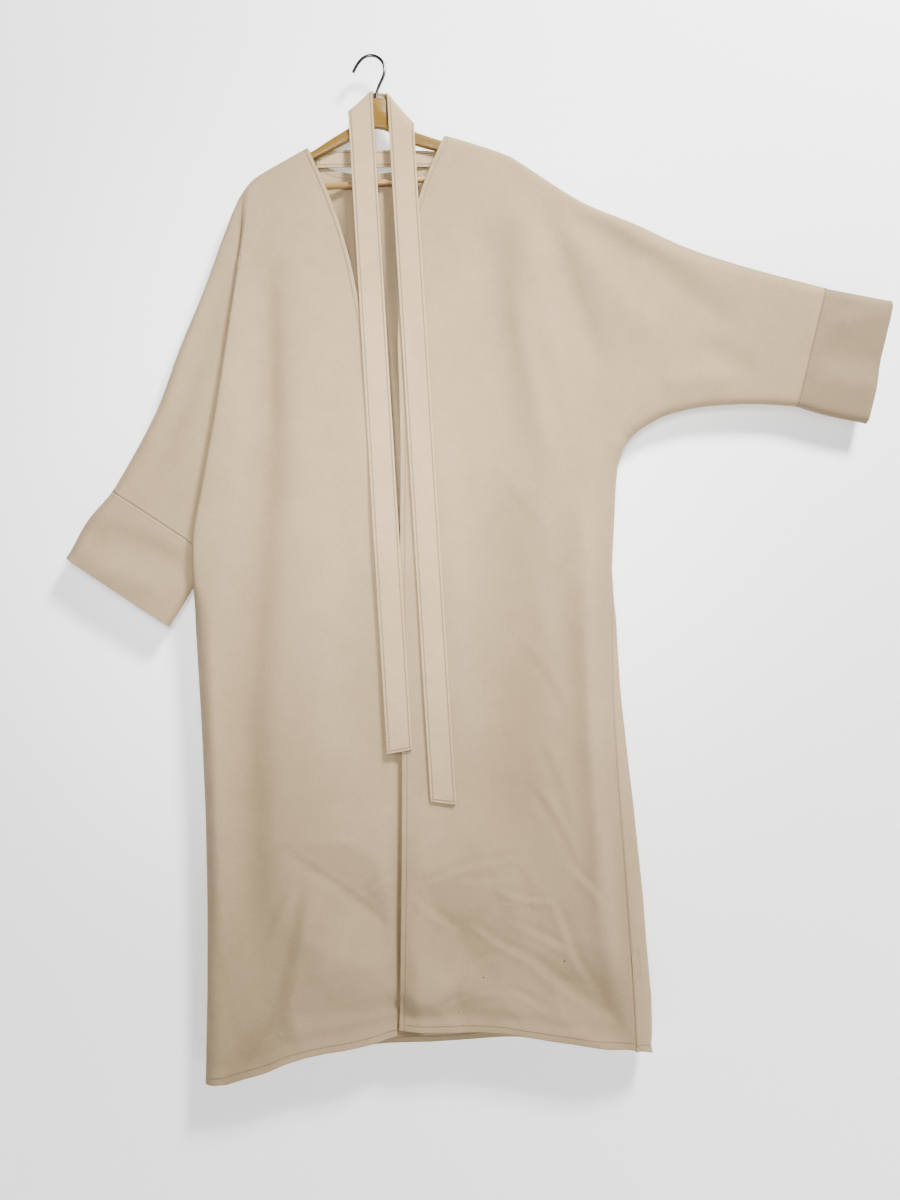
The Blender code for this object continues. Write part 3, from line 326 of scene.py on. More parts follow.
def read(items, key, width=1, kind=np.float64):
    """One property of all the vertices, edges, loops or faces of a mesh, width values each."""
    flat = np.empty(len(items) * width, kind)
    items.foreach_get(key, flat)
    return flat.reshape(-1, width) if width > 1 else flat


def read_places(mesh):
    """(across, depth, drop) of a mesh's vertices, in millimetres."""
    return read(mesh.vertices, "co", 3) * (1000.0, 1000.0, -1000.0)


def write_places(mesh, places):
    mesh.vertices.foreach_set("co", (places * (MM, MM, -MM)).ravel())
    mesh.update()


def tree_of(places):
    tree = KDTree(len(places))
    for i, place in enumerate(places):
        tree.insert(place, i)
    tree.balance()
    return tree


def gaps_to(places, tree, furthest):
    """Distance from each place to the nearest one in a tree, up to the furthest."""
    if tree is None:
        return np.full(len(places), furthest)
    return np.array([min(tree.find(place)[2], furthest) for place in places])


def dense(points, step):
    """Points spaced evenly, step apart, on a line through points."""
    points = np.array(points, float)
    runs = np.linalg.norm(np.diff(points, axis=0), axis=1)
    ends = np.concatenate([[0.0], np.cumsum(runs)])
    at = np.linspace(0.0, ends[-1], max(int(ends[-1] / step) + 1, 2))
    return np.stack([np.interp(at, ends, points[:, k]) for k in range(points.shape[1])], axis=1)


def softened(points):
    """A line through points with its corners rounded."""
    line = dense(points, 4.0)
    reach = 9
    weights = np.hanning(2 * reach + 1)[1:-1]
    weights = weights / weights.sum()
    padded = np.pad(line, ((reach - 1, reach - 1), (0, 0)), mode="reflect", reflect_type="odd")
    return np.stack([np.convolve(padded[:, k], weights, "valid") for k in (0, 1)], axis=1)


def fold_heights(folds, across, drop):
    """Height of the cloth over its smooth form at each place, from a table of folds."""
    total = np.zeros(len(across))
    places = np.stack([across, drop], axis=1)
    for width, height, points, *step in folds:
        line = softened(points)
        reach = FOLD_REACH * width
        low, high = line.min(axis=0) - reach, line.max(axis=0) + reach
        near = np.flatnonzero(np.all((places > low) & (places < high), axis=1))
        if len(near) == 0:
            continue
        tangent = np.gradient(line, axis=0)
        tangent /= np.maximum(np.linalg.norm(tangent, axis=1), 1e-9)[:, None]
        closest = ((line ** 2).sum(axis=1)[None, :] - 2.0 * places[near] @ line.T).argmin(axis=1)
        off = places[near] - line[closest]
        aside = off[:, 0] * tangent[closest, 1] - off[:, 1] * tangent[closest, 0]
        share = closest / (len(line) - 1)
        beyond = np.where((closest == 0) | (closest == len(line) - 1), (off ** 2).sum(axis=1), aside ** 2)
        ends = ease(share / FOLD_ENDS) * ease((1.0 - share) / FOLD_ENDS)
        lift = height + (2.33 * step[0] * aside / width if step else 0.0)
        gain = BROAD_GAIN if width > BROAD else FINE_GAIN
        total[near] += gain * lift * ends * np.exp(-beyond / width ** 2)
    return total


def facet_heights(lines, across, drop):
    """Height of flat facets between lines of points, rounded where they meet."""
    spots, edges = {}, []
    for line in lines:
        for spot in line:
            spots.setdefault(spot[:2], (len(spots), spot[2]))
        edges += [(spots[a[:2]][0], spots[b[:2]][0]) for a, b in zip(line[:-1], line[1:])]
    given = [height for _, height in spots.values()]
    corners, _, faces, sources, _, _ = delaunay_2d_cdt([Vector(spot) for spot in spots], edges, [], 0, 0.001)
    heights = [np.mean([given[k] for k in source]) if source else 0.0 for source in sources]
    total = np.zeros(len(across))
    turns = [math.tau * k / FACET_TURNS for k in range(FACET_TURNS)]
    turns = [(0.0, 0.0)] + [(math.cos(turn), math.sin(turn)) for turn in turns]
    for face in faces:
        (ax, ay), (bx, by), (cx, cy) = (corners[k] for k in face)
        area = (bx - ax) * (cy - ay) - (cx - ax) * (by - ay)
        xs, ys = (ax, bx, cx), (ay, by, cy)
        margin = FACET_ROUND + 1.0
        near = np.flatnonzero((across > min(xs) - margin) & (across < max(xs) + margin)
                              & (drop > min(ys) - margin) & (drop < max(ys) + margin))
        for dx, dy in turns:
            x, y = across[near] + FACET_ROUND * dx, drop[near] + FACET_ROUND * dy
            second = ((x - ax) * (cy - ay) - (cx - ax) * (y - ay)) / area
            third = ((bx - ax) * (y - ay) - (x - ax) * (by - ay)) / area
            inside = (second >= 0.0) & (third >= 0.0) & (second + third < 1.0)
            value = heights[face[0]] * (1.0 - second - third) + heights[face[1]] * second
            value += heights[face[2]] * third
            total[near] += np.where(inside, value, 0.0) / len(turns)
    return total


def unevenness(across, drop, turn):
    """Slow waves in the cloth; turn shifts them between front and back."""
    total = np.zeros(len(across))
    for i, (wide, tall, height) in enumerate(UNEVEN):
        phase = 1.7 * i + turn
        total += height * np.sin(across / wide * math.tau + phase) * np.cos(
            drop / tall * math.tau + 2.3 * phase)
    return total


# --------------------------------------------------------------- cloth pieces
def as_quads(node):
    """A copy of a node's wall with its triangles paired."""
    limits = {"face_threshold": math.radians(60), "shape_threshold": math.radians(80)}
    return solid_copy(node, node + "_cloth", (bpy.ops.mesh.tris_convert_to_quads, limits))


def cut_evenly(mesh, longest, low_share):
    """Cuts rings of long edges, so that the faces come out about square, closer together low down."""
    cloth = bmesh.new()
    cloth.from_mesh(mesh)
    for _ in range(12):
        cloth.edges.index_update()
        leads = list(range(len(cloth.edges)))

        def lead(i):
            while leads[i] != i:
                leads[i] = leads[leads[i]]
                i = leads[i]
            return i

        for face in cloth.faces:
            if len(face.edges) == 4:
                for k in (0, 1):
                    leads[lead(face.edges[k].index)] = lead(face.edges[k + 2].index)
        rings = {}
        for edge in cloth.edges:
            rings.setdefault(lead(edge.index), []).append(edge)
        groups = {}
        for ring in rings.values():
            middle = sorted(edge.calc_length() for edge in ring)[len(ring) // 2] / MM
            down = sum(abs(edge.verts[0].co.z - edge.verts[1].co.z) for edge in ring) / len(ring) / MM
            is_low = sum(edge.verts[0].co.z for edge in ring) / len(ring) < LOW_ROWS * -MM
            limit = longest * (low_share if is_low and down > 0.7 * middle else 1.0)
            groups.setdefault(min(int(middle / limit), 5), []).extend(ring)
        cuts = max(groups)
        if cuts == 0:
            break
        bmesh.ops.subdivide_edges(cloth, edges=groups[cuts], cuts=cuts, use_grid_fill=True)
    cloth.to_mesh(mesh)
    cloth.free()


def crisp_rims(mesh, wall):
    """Marks the rims of the wall so that smoothing keeps them, and their corners too."""
    cloth = bmesh.new()
    cloth.from_mesh(mesh)
    edge_mark = cloth.edges.layers.float.new("crease_edge")
    corner_mark = cloth.verts.layers.float.new("crease_vert")
    rim = set()
    for edge in cloth.edges:
        if len(edge.link_faces) != 2 or edge.calc_face_angle(0.0) < RIM_TURN:
            continue
        for face in edge.link_faces:
            sides = [e.calc_length() for e in face.edges if e is not edge and set(e.verts) & set(edge.verts)]
            if 0.7 * wall * MM < sum(sides) / len(sides) < 1.4 * wall * MM:
                rim.add(edge)
    for edge in rim:
        edge[edge_mark] = 1.0
    for vertex in cloth.verts:
        ends = [edge.other_vert(vertex).co - vertex.co for edge in vertex.link_edges if edge in rim]
        if len(ends) == 2 and ends[0].angle(-ends[1], 0.0) > CORNER_TURN:
            vertex[corner_mark] = 1.0
        elif len(ends) > 2:
            vertex[corner_mark] = 1.0
    cloth.to_mesh(mesh)
    cloth.free()


def smoothed(piece, levels):
    modifier = piece.modifiers.new("Smooth", "SUBSURF")
    modifier.levels = levels
    modifier.render_levels = levels
    modifier.boundary_smooth = "PRESERVE_CORNERS"
    select_only(piece)
    bpy.ops.object.modifier_apply(modifier=modifier.name)


def rim_edges(mesh):
    """Places along the rims of a smoothed wall: both ends of each creased edge."""
    marks = read(mesh.attributes["crease_edge"].data, "value")
    return read(mesh.edges, "vertices", 2, np.int32)[marks > 0.5]


def rim_points(places, ends):
    """Points a millimetre apart along rim edges, with each edge's direction."""
    points, runs = [], []
    for a, b in zip(places[ends[:, 0]], places[ends[:, 1]]):
        long = np.linalg.norm(b - a)
        count = max(int(long), 1)
        share = (np.arange(count) + 0.5) / count
        points.append(a + (b - a) * share[:, None])
        runs.append(np.tile((b - a) / max(long, 1e-9), (count, 1)))
    return np.concatenate(points), np.concatenate(runs)


def add_gap(mesh, name, values):
    layer = mesh.attributes.new(name, "FLOAT", "POINT")
    layer.data.foreach_set("value", np.asarray(values, np.float32))


def build_cloth():
    """Every cloth piece, smoothed, folded, with its turned edges."""
    made = {}
    for node in LONGEST:
        piece = as_quads(node)
        cut_evenly(piece.data, LONGEST[node], CLOSE_ROWS.get(node, 1.0))
        crisp_rims(piece.data, WALLS.get(node, WALL))
        smoothed(piece, 2)
        points, runs = rim_points(read_places(piece.data), rim_edges(piece.data))
        made[node] = {"piece": piece, "points": points, "runs": runs}
    for node, part in made.items():
        others = tree_of(np.concatenate([made[other]["points"][::2] for other in SEWN_TO[node]]))
        part["is_seam"] = gaps_to(part["points"], others, 9.0) < SEAM_REACH
    for node, part in made.items():
        part["pulls"] = seam_pulls(part, np.concatenate([made[other]["points"] for other in SEWN_TO[node]]))
    for node, part in made.items():
        fold_piece(node, part)
        eased(part["piece"], RIM_ROUND, 2, 50)
    return made


def seam_pulls(part, others):
    """How far each seam point of a piece moves to meet the rim it is sewn to."""
    seam = np.flatnonzero(part["is_seam"])
    pulls = np.zeros((len(seam), 3))
    if len(seam) == 0:
        return pulls
    mine, theirs = tree_of(part["points"]), tree_of(others)
    for i, k in enumerate(seam):
        here = np.mean([spot for spot, _, _ in mine.find_range(part["points"][k], 3.5)], axis=0)
        there = theirs.find_range(here, SEAM_REACH + 2.0)
        if len(there) == 0:
            continue
        gap = np.mean([spot for spot, _, _ in there], axis=0) - here
        gap -= part["runs"][k] * gap.dot(part["runs"][k])
        long = np.linalg.norm(gap)
        if long > SEAM_GAP:
            pulls[i] = gap * 0.5 * (1.0 - SEAM_GAP / long)
    near = tree_of(part["points"][seam])
    return np.array([np.mean(pulls[[k for _, k, _ in near.find_range(spot, 8.0)]], axis=0)
                     for spot in part["points"][seam]])


def move_outline(node, pull, across, drop, seam_gap):
    """Adds the belly of the side, the rise of the hem and the nudges to a piece's pull."""
    if node in (*FRONTS, "back"):
        belly = np.interp(drop, *np.transpose(SIDE_BELLY)) * (across > BELLY_FROM)
        near = np.minimum(belly, BELLY_SEAM)
        if node == "back":
            strip = near + (belly - near) * ease(seam_gap / BELLY_STRIP)
            pull[:, 0] += strip * ease((BELLY_END - seam_gap) / BELLY_FADE)
        else:
            pull[:, 0] += near * ease(1.0 - seam_gap / BELLY_SEAM_FADE)
        rise = np.interp(across, *np.transpose(HEM_RISE))
        if node == "front_left":
            rise += np.interp(across, *np.transpose(LAP_RISE))
        pull[:, 2] -= rise * ease((drop - HEM_RISE_FROM) / HEM_RISE_RUN)
    for near_across, near_drop, reach, moved, down in NUDGES:
        share = np.exp(-((across - near_across) ** 2 + (drop - near_drop) ** 2) / reach ** 2)
        pull[:, 0] += share * moved
        pull[:, 2] += share * down


def fold_piece(node, part):
    """Moves a smoothed piece's vertices out or in by its folds and turned edges."""
    mesh = part["piece"].data
    places = read_places(mesh)
    across, depth, drop = places.T
    seam = part["points"][part["is_seam"]]
    free = part["points"][~part["is_seam"]]
    runs = part["runs"][~part["is_seam"]]
    pull = np.zeros(places.shape)
    seam_gap = np.full(len(places), FAR)
    if len(seam):
        tree = tree_of(seam)
        found = [tree.find(place) for place in places]
        seam_gap = np.minimum([away for _, _, away in found], FAR)
        pull = part["pulls"][[k for _, k, _ in found]] * ease(1.0 - seam_gap / SEAM_DRAW)[:, None]
    calm = ease(seam_gap / SEAM_CALM)
    move_outline(node, pull, across, drop, seam_gap)
    level = np.abs(runs[:, 2]) < np.abs(runs[:, 0])
    hem_gap = gaps_to(places, tree_of(free[level]) if level.any() else None, FAR)
    edge_gap = gaps_to(places, tree_of(free[~level]) if (~level).any() else None, FAR)
    front = back = np.zeros(len(across))
    if node != "back":
        front = fold_heights(FRONT_FOLDS, across, drop) + unevenness(across, drop, 0.0)
    if node == "back" or node.startswith("cuff"):
        back = fold_heights(BACK_FOLDS, across, drop) + unevenness(across, drop, 2.0)
    if node in FRONTS:
        side = across < -15.0 if node == "front_right" else across > -60.0
        beside = across - np.interp(drop, *np.transpose(LAP_EDGE)[::-1])
        facets = facet_heights(FACETS[node], across, drop) * FACET_GAIN
        front += facets * side * ease(np.abs(beside) / LAP_CALM)
    if node == "front_right":
        front += fold_heights(LAP_HOLLOW, across, drop)
    if node in FRONTS:
        shift = -front * calm
    elif node == "back":
        shift = back * calm * ease(depth / 8.0 + 0.5)
    elif node.startswith("cuff"):
        shift = calm * np.where(depth < 0, -front, back) * ease(np.abs(depth) / 8.0)
    elif node == "belt":
        shift = -(front + 0.9 + 0.7 * np.sin(drop / 52.0 + across / 40.0)) * ease((drop - 150.0) / 200.0)
    else:
        shift = np.zeros(len(across))
    if node == "belt":
        arch = BELT_ARCH * np.exp(-((across - BELT_ARCH_AT) / BELT_ARCH_WIDE) ** 2)
        places[:, 2] -= arch * ease((BELT_ARCH_END - drop) / 12.0) * (depth > 0)
    out = np.sign(read(mesh.vertices, "normal", 3)[:, 1])
    is_outer = out < 0 if node.startswith("front") else out > 0
    turned = np.zeros(len(across))
    if node in (*FRONTS, "back"):
        band = ease((HEM_BAND + 2.0 - hem_gap) / 4.0) + ease((EDGE_BAND + 2.0 - edge_gap) / 4.0)
        turned = TURNED_LIFT * np.minimum(band, 1.0) * is_outer * out
        kick = np.where(node == "back", 1.0, -1.0) * HEM_KICK * (drop > HEM_ZONE) * calm
        shift -= kick * np.exp(-((hem_gap - HEM_KICK_AT) / HEM_KICK_WIDE) ** 2)
    places += pull
    places[:, 1] += shift + turned
    beyond = np.maximum(FRONT_MOST - places[:, 1], 0.0)
    places[:, 1] = np.maximum(places[:, 1], FRONT_MOST) - FRONT_ROOM * np.tanh(beyond / FRONT_ROOM)
    write_places(mesh, places)
    # the fold height, kept for the painted shade: darker in hollows, paler on ridges
    fold_shade = -shift * np.sign(out) if node == "back" else -shift
    add_gap(mesh, "fold_shade", fold_shade)
    add_gap(mesh, "seam_gap", seam_gap)
    add_gap(mesh, "hem_gap", hem_gap)
    add_gap(mesh, "edge_gap", edge_gap)


# -------------------------------------------------------------------- sewing
def level_lines(mesh, values, level, toward):
    """Lines on a wall where a value has a level, on the faces that look toward one depth."""
    places = read_places(mesh)
    starts = read(mesh.polygons, "loop_start", kind=np.int32)
    faces_that_way = read(mesh.polygons, "normal", 3)[:, 1] * toward > 0.3
    above = values[read(mesh.loops, "vertex_index", kind=np.int32)] > level
    crossing = np.maximum.reduceat(above, starts) & ~np.minimum.reduceat(above, starts)
    links, crossed = {}, {}
    for index in np.flatnonzero(crossing & faces_that_way):
        found = []
        for a, b in mesh.polygons[index].edge_keys:
            if (values[a] - level) * (values[b] - level) < 0.0:
                share = (level - values[a]) / (values[b] - values[a])
                crossed[(a, b)] = places[a] + (places[b] - places[a]) * share
                found.append((a, b))
        if len(found) == 2:
            links.setdefault(found[0], []).append(found[1])
            links.setdefault(found[1], []).append(found[0])
    lines = []
    unused = set(links)
    for start in sorted(links, key=lambda key: len(links[key])):
        line = []
        here = start
        while here in unused:
            unused.remove(here)
            line.append(crossed[here])
            here = next((key for key in links[here] if key in unused), here)
        if len(line) > 5:
            lines.append(np.array(line))
    return lines


def add_sewing(name, rows):
    """One mesh of stitches, each a short slanting capsule pressed into the cloth."""
    vertices, faces = [], []
    rings = [(-0.5, 0.35), (-0.3, 1.0), (0.3, 1.0), (0.5, 0.35)]
    turns = [math.tau * k / STITCH_SIDES for k in range(STITCH_SIDES)]
    for line, toward in rows:
        spaced = dense(line, 1.0)
        spaced[2:-2] = (spaced[:-4] + spaced[1:-3] + spaced[2:-2] + spaced[3:-1] + spaced[4:]) / 5.0
        stops = dense(spaced, STITCH_PITCH)
        for a, b in zip(stops[:-1], stops[1:]):
            along = (b - a) / max(np.linalg.norm(b - a), 1e-6)
            out = np.array([0.0, toward, 0.0])
            out = out - along * out.dot(along)
            out /= max(np.linalg.norm(out), 1e-6)
            side = np.cross(along, out)
            along = along + STITCH_SLANT * side
            first = len(vertices)
            for reach, size in rings:
                middle = a + (b - a) * 0.5 + along * (reach * STITCH_LONG)
                middle = middle + out * (STITCH_RISE - STITCH_DIP * reach * reach)
                for turn in turns:
                    vertices.append(middle + size * STITCH_WIDE * 0.5 * (
                        side * math.cos(turn) + out * math.sin(turn)))
            faces += tube_faces(first, len(rings), STITCH_SIDES)
    return closed_piece(name, [Vector(v * (MM, MM, -MM)) for v in vertices], faces)


def sew(cloth):
    """Top stitching of hems, front edges, belt, strap and neckline."""
    made = []
    pale_thread, dark_thread = thread("sewing_thread", THREAD_PALE), thread("belt_thread", THREAD)
    for node in (*FRONTS, "back", *STRAPS):
        mesh = cloth[node]["piece"].data
        hem, edge = (read(mesh.attributes[name].data, "value", kind=np.float32)
                     for name in ("hem_gap", "edge_gap"))
        rows = []
        if node in STRAPS:
            either = np.minimum(hem, edge)
            rows += [(line, side) for side in (-1, 1) for line in level_lines(mesh, either, BELT_BAND, side)]
        elif node == "back":
            for side in (-1, 1):
                rows += [(line, side) for line in level_lines(mesh, hem, HEM_BAND, side)
                         if line[:, 2].mean() > HEM_ZONE]
                for inward in NECK_LINES:
                    rows += [(line, side) for line in level_lines(mesh, hem, inward, side)
                             if line[:, 2].mean() < NECK_ZONE]
        else:
            either = np.minimum(hem / HEM_BAND, edge / EDGE_BAND)
            rows += [(line, side) for side in (-1, 1) for line in level_lines(mesh, either, 1.0, side)]
        piece = add_sewing(node + "_sewing", rows)
        piece.data.materials.append(dark_thread if node in STRAPS else pale_thread)
        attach(piece, "root")
        made.append((node, piece))
    return dict(made)


# ------------------------------------------------------------------- hanger
def add_rod(name, points, radius, sides, tip):
    """A round rod along (across, drop) points, with rounded tips; its sizes are in metres."""
    points = [Vector((across * MM, 0.0, -drop * MM)) for across, drop in points]
    backward = Vector((0.0, 1.0, 0.0))
    ahead = (points[1] - points[0]).normalized()
    spine = [(points[0] - ahead * tip * math.cos(t), radius * math.sin(t)) for t in TIP_TURNS]
    spine += [(point, radius) for point in points]
    ahead = (points[-1] - points[-2]).normalized()
    spine += [(points[-1] + ahead * tip * math.cos(t), radius * math.sin(t)) for t in TIP_TURNS[::-1]]
    vertices = []
    for i, (middle, size) in enumerate(spine):
        along = spine[min(i + 1, len(spine) - 1)][0] - spine[max(i - 1, 0)][0]
        across = along.cross(backward).normalized()
        for k in range(sides):
            turn = math.tau * k / sides
            vertices.append(middle + size * (across * math.cos(turn) + backward * math.sin(turn)))
    return closed_piece(name, vertices, tube_faces(0, len(spine), sides))


def add_hook():
    """The wire hook: an open ring on a bent shank that goes down into the wood."""
    radius = HOOK_WIRE / 2 * MM
    return add_rod("hook_wire", softened(HOOK_PATH), radius, 20, radius)


def add_plate():
    """The hanger's flat wooden arch, with its edges eased."""
    flatten = (bpy.ops.mesh.dissolve_limited, {"angle_limit": math.radians(0.5)})
    piece = solid_copy("hanger_wood", "hanger_arch", flatten)
    eased(piece, ARCH_EDGE, 3, 40)
    in_edit_mode(piece, (bpy.ops.mesh.set_normals_from_faces, {}))
    return piece


# ------------------------------------------------------------------ materials
class Shade:
    """A shader value that sums and products can be written with."""

    def __init__(self, tree, socket):
        self.tree = tree
        self.socket = socket

    def math(self, operation, *others, clamp=False):
        made = self.tree.nodes.new("ShaderNodeMath")
        made.operation = operation
        made.use_clamp = clamp
        for socket, value in zip(made.inputs, others):
            if isinstance(value, Shade):
                self.tree.links.new(value.socket, socket)
            else:
                socket.default_value = value
        return Shade(self.tree, made.outputs[0])

    __add__ = __radd__ = lambda self, other: self.math("ADD", self, other)
    __mul__ = __rmul__ = lambda self, other: self.math("MULTIPLY", self, other)
    __sub__ = lambda self, other: self.math("SUBTRACT", self, other)
    __rsub__ = lambda self, other: self.math("SUBTRACT", other, self)
    __truediv__ = lambda self, other: self.math("DIVIDE", self, other)

    def clamped(self):
        return self.math("ADD", self, 0.0, clamp=True)


class Finish:
    """A material being made, with one method for any node."""

    def __init__(self, name):
        self.material = bpy.data.materials.new(name)
        self.material.use_nodes = True
        self.tree = self.material.node_tree
        self.shader = self.tree.nodes["Principled BSDF"]

    def node(self, kind, output=0, settings=None, **values):
        made = self.tree.nodes.new("ShaderNode" + kind)
        for name, value in (settings or {}).items():
            setattr(made, name, value)
        for name, value in values.items():
            self.put(made.inputs[name.replace("_", " ")], value)
        return Shade(self.tree, made.outputs[output])

    def put(self, socket, value):
        if isinstance(value, Shade):
            self.tree.links.new(value.socket, socket)
        else:
            socket.default_value = value

    def set(self, **values):
        for name, value in values.items():
            self.put(self.shader.inputs[name.replace("_", " ")], value)

    def noise(self, where, scale, detail=3.0, roughness=0.5):
        return self.node("TexNoise", "Fac", Vector=where, Scale=scale, Detail=detail, Roughness=roughness)

    def mix(self, share, one, other):
        made = self.tree.nodes.new("ShaderNodeMix")
        made.data_type = "RGBA"
        for name, value in (("Factor_Float", share), ("A_Color", one), ("B_Color", other)):
            socket = next(s for s in made.inputs if s.identifier == name)
            self.put(socket, value)
        result = next(s for s in made.outputs if s.identifier == "Result_Color")
        return Shade(self.tree, result)

    def object_places(self):
        return self.node("TexCoord", "Object")

    def stretched(self, where, *scale):
        return self.node("Mapping", Vector=where, Scale=scale)

    def bump(self, height, distance, strength=1.0):
        return self.node("Bump", Height=height, Distance=distance, Strength=strength)

    def gap(self, name):
        return self.node("Attribute", "Fac", settings={"attribute_name": name})


FELT = (0.292, 0.212, 0.120, 1.0)
FELT_DEEP = (0.232, 0.165, 0.088, 1.0)
FELT_PALE = (0.352, 0.259, 0.152, 1.0)
# colour of the painted shade along rims
RIM_SHADE = (0.07, 0.05, 0.03, 1.0)
THREAD = (0.19, 0.13, 0.075, 1.0)
THREAD_PALE = (0.27, 0.195, 0.11, 1.0)
LINT = (0.03, 0.02, 0.015, 1.0)
# the felt's noises and sharp creases, in waves a metre, and a crease's share of its cell
SLOW_SCALE, PATCH_SCALE, HEATHER_SCALE, FIBRE_SCALE = 7.0, 46.0, 420.0, 1500.0
CREASE_SCALE, CREASE_WIDE = 15.0, 0.035
# in millimetres: the fold height over which the painted shade goes from dark to pale, and the half widths
# of a stitched line, a seam's painted shade, the roll beside a seam and a rim's painted shade
FOLD_SHADE_RANGE = 32.0
LINE_WIDE, SEAM_WIDE, ROLL_AT, ROLL_WIDE, RIM_WIDE = 1.3, 2.0, 3.6, 2.2, 1.4

WOOD_PALE = (0.215, 0.122, 0.014, 1.0)
WOOD_DEEP = (0.125, 0.064, 0.006, 1.0)
DOWEL_PALE = (0.37, 0.235, 0.075, 1.0)
DOWEL_DEEP = (0.24, 0.14, 0.04, 1.0)
WIRE_DARK, WIRE_BRIGHT = (0.05, 0.05, 0.055, 1.0), (0.14, 0.14, 0.145, 1.0)


def groove(gap, at, width):
    """1 on a stitched line at a distance from an edge, 0 away from it."""
    off = (gap - at) / width
    return (1.0 - off * off).clamped()


def felt(name, hem_at, edge_at, stitched, painted_light):
    """Brushed felt: a close nap, fine heather and pressed-in stitched lines, with painted shade in fold
    hollows, seams and lower rims; painted_light brightens or darkens the colour for lit or shaded copies.
    """
    made = Finish(name)
    where = made.object_places()
    slow = made.noise(where, SLOW_SCALE, 4.0, 0.6)
    patchy = made.noise(where, PATCH_SCALE, 3.0)
    heather = made.noise(where, HEATHER_SCALE, 3.0, 0.7)
    fibre = made.noise(made.stretched(where, 1.0, 1.0, 0.45), FIBRE_SCALE, 2.0, 0.6)
    hem_line = groove(made.gap("hem_gap"), hem_at, LINE_WIDE)
    edge_line = groove(made.gap("edge_gap"), edge_at, LINE_WIDE)
    line = hem_line.math("MAXIMUM", hem_line, edge_line)
    # painted shade from the fold height: darker in hollows, paler on ridges
    fold_shade = (made.gap("fold_shade") / FOLD_SHADE_RANGE + 0.5).clamped()
    shade = (slow - 0.5) * 0.6 + (patchy - 0.5) * 0.4 + (heather - 0.5) * 1.0 + (fibre - 0.5) * 0.6
    # painted light: painted_light scales both tones, for lit or shaded copies of one felt
    deep, pale = (tuple(c * painted_light for c in tone[:3]) + (1.0,) for tone in (FELT_DEEP, FELT_PALE))
    colour = made.mix((shade + (fold_shade - 0.5) * 0.6 + 0.5).clamped(), deep, pale)
    colour = made.mix((line * stitched).clamped(), colour, THREAD)
    # painted shade in each seam's groove, mixed toward the thread's colour
    seam = (1.0 - made.gap("seam_gap") / SEAM_WIDE).clamped()
    roll = groove(made.gap("seam_gap"), ROLL_AT, ROLL_WIDE)
    colour = made.mix((seam * 0.8).clamped(), colour, THREAD)
    for across, drop, size in SPECKS:
        spot = made.node("VectorMath", settings={"operation": "MULTIPLY_ADD"}, Vector=where)
        spot.socket.node.inputs[1].default_value = (1.0 / MM, 0.0, 1.0 / MM)
        spot.socket.node.inputs[2].default_value = (-across, 0.0, drop)
        away = made.node("VectorMath", "Value", settings={"operation": "LENGTH"}, Vector=spot)
        colour = made.mix((size - away).clamped() * 0.85, colour, LINT)
    low = (made.node("SeparateXYZ", "Z", Vector=where) * -8.0 - 10.0).clamped()
    # painted shade: a dark line along the lower hems' rims, and along the rims of the unstitched cuffs
    rim = (1.0 - made.gap("hem_gap") / RIM_WIDE).clamped()
    if stitched:
        rim = rim * low
    else:
        rim = rim.math("MAXIMUM", rim, (1.0 - made.gap("edge_gap") / RIM_WIDE).clamped())
    colour = made.mix(rim * 0.5, colour, RIM_SHADE)
    cells = made.node("TexVoronoi", "Distance", settings={"feature": "DISTANCE_TO_EDGE"},
                      Vector=made.stretched(where, 1.0, 0.2, 0.8), Scale=CREASE_SCALE)
    inland = (made.gap("seam_gap") / 40.0 - 0.5).clamped()
    sharp = (1.0 - cells / CREASE_WIDE).clamped() * low * inland * ((slow - 0.5) * 6.0).clamped()
    height = heather * 0.35 + fibre * 0.25 + patchy * 0.4 - line * 1.6 * (stitched > 0.0)
    height = height - seam * 2.4 + roll * 0.5 + sharp * 0.7
    made.set(Base_Color=colour, Roughness=0.86 - heather * 0.08, Normal=made.bump(height, 0.0011, 0.55))
    made.set(Sheen_Weight=0.06, Sheen_Roughness=0.5, Specular_IOR_Level=0.35)
    made.shader.inputs["Sheen Tint"].default_value = (1.0, 0.95, 0.88, 1.0)
    return made.material


def thread(name, colour):
    made = Finish(name)
    where = made.object_places()
    twist = made.noise(where, 2600.0, 2.0)
    made.set(Base_Color=made.mix(twist, colour, FELT), Roughness=0.75, Normal=made.bump(twist, 0.0003))
    return made.material


def wood(name, pale, deep, gloss):
    """Straight-grained wood under a clear finish."""
    made = Finish(name)
    where = made.object_places()
    grain = made.noise(made.stretched(where, 3.0, 60.0, 42.0), 3.2, 6.0, 0.62)
    pores = made.noise(made.stretched(where, 14.0, 300.0, 300.0), 4.0, 3.0, 0.7)
    slow = made.noise(where, 14.0, 2.0)
    colour = made.mix((grain * 1.5 - 0.35 + (slow - 0.5) * 0.6).clamped(), deep, pale)
    colour = made.mix(((pores - 0.58) * 4.0).clamped() * 0.4, colour, deep)
    made.set(Base_Color=colour, Roughness=gloss + grain * 0.12,
             Normal=made.bump(grain + pores * 0.6, 0.0004, 0.4))
    made.set(Coat_Weight=0.15, Coat_Roughness=0.2)
    return made.material


def chrome():
    made = Finish("chrome_wire")
    where = made.object_places()
    dull = made.noise(where, 160.0, 4.0)
    made.set(Base_Color=made.mix(dull, WIRE_DARK, WIRE_BRIGHT), Metallic=1.0,
             Roughness=0.12 + dull * 0.16, Normal=made.bump(dull, 0.0002, 0.3))
    return made.material


# -------------------------------------------------------------------- stage
def paint(name, colour):
    """Matt paint for the surroundings, with a faint unevenness."""
    made = Finish(name)
    where = made.object_places()
    darker = tuple(c * 0.985 for c in colour[:3]) + (1.0,)
    made.set(Base_Color=made.mix(made.noise(where, 2.0), colour, darker), Roughness=0.85)
    return made


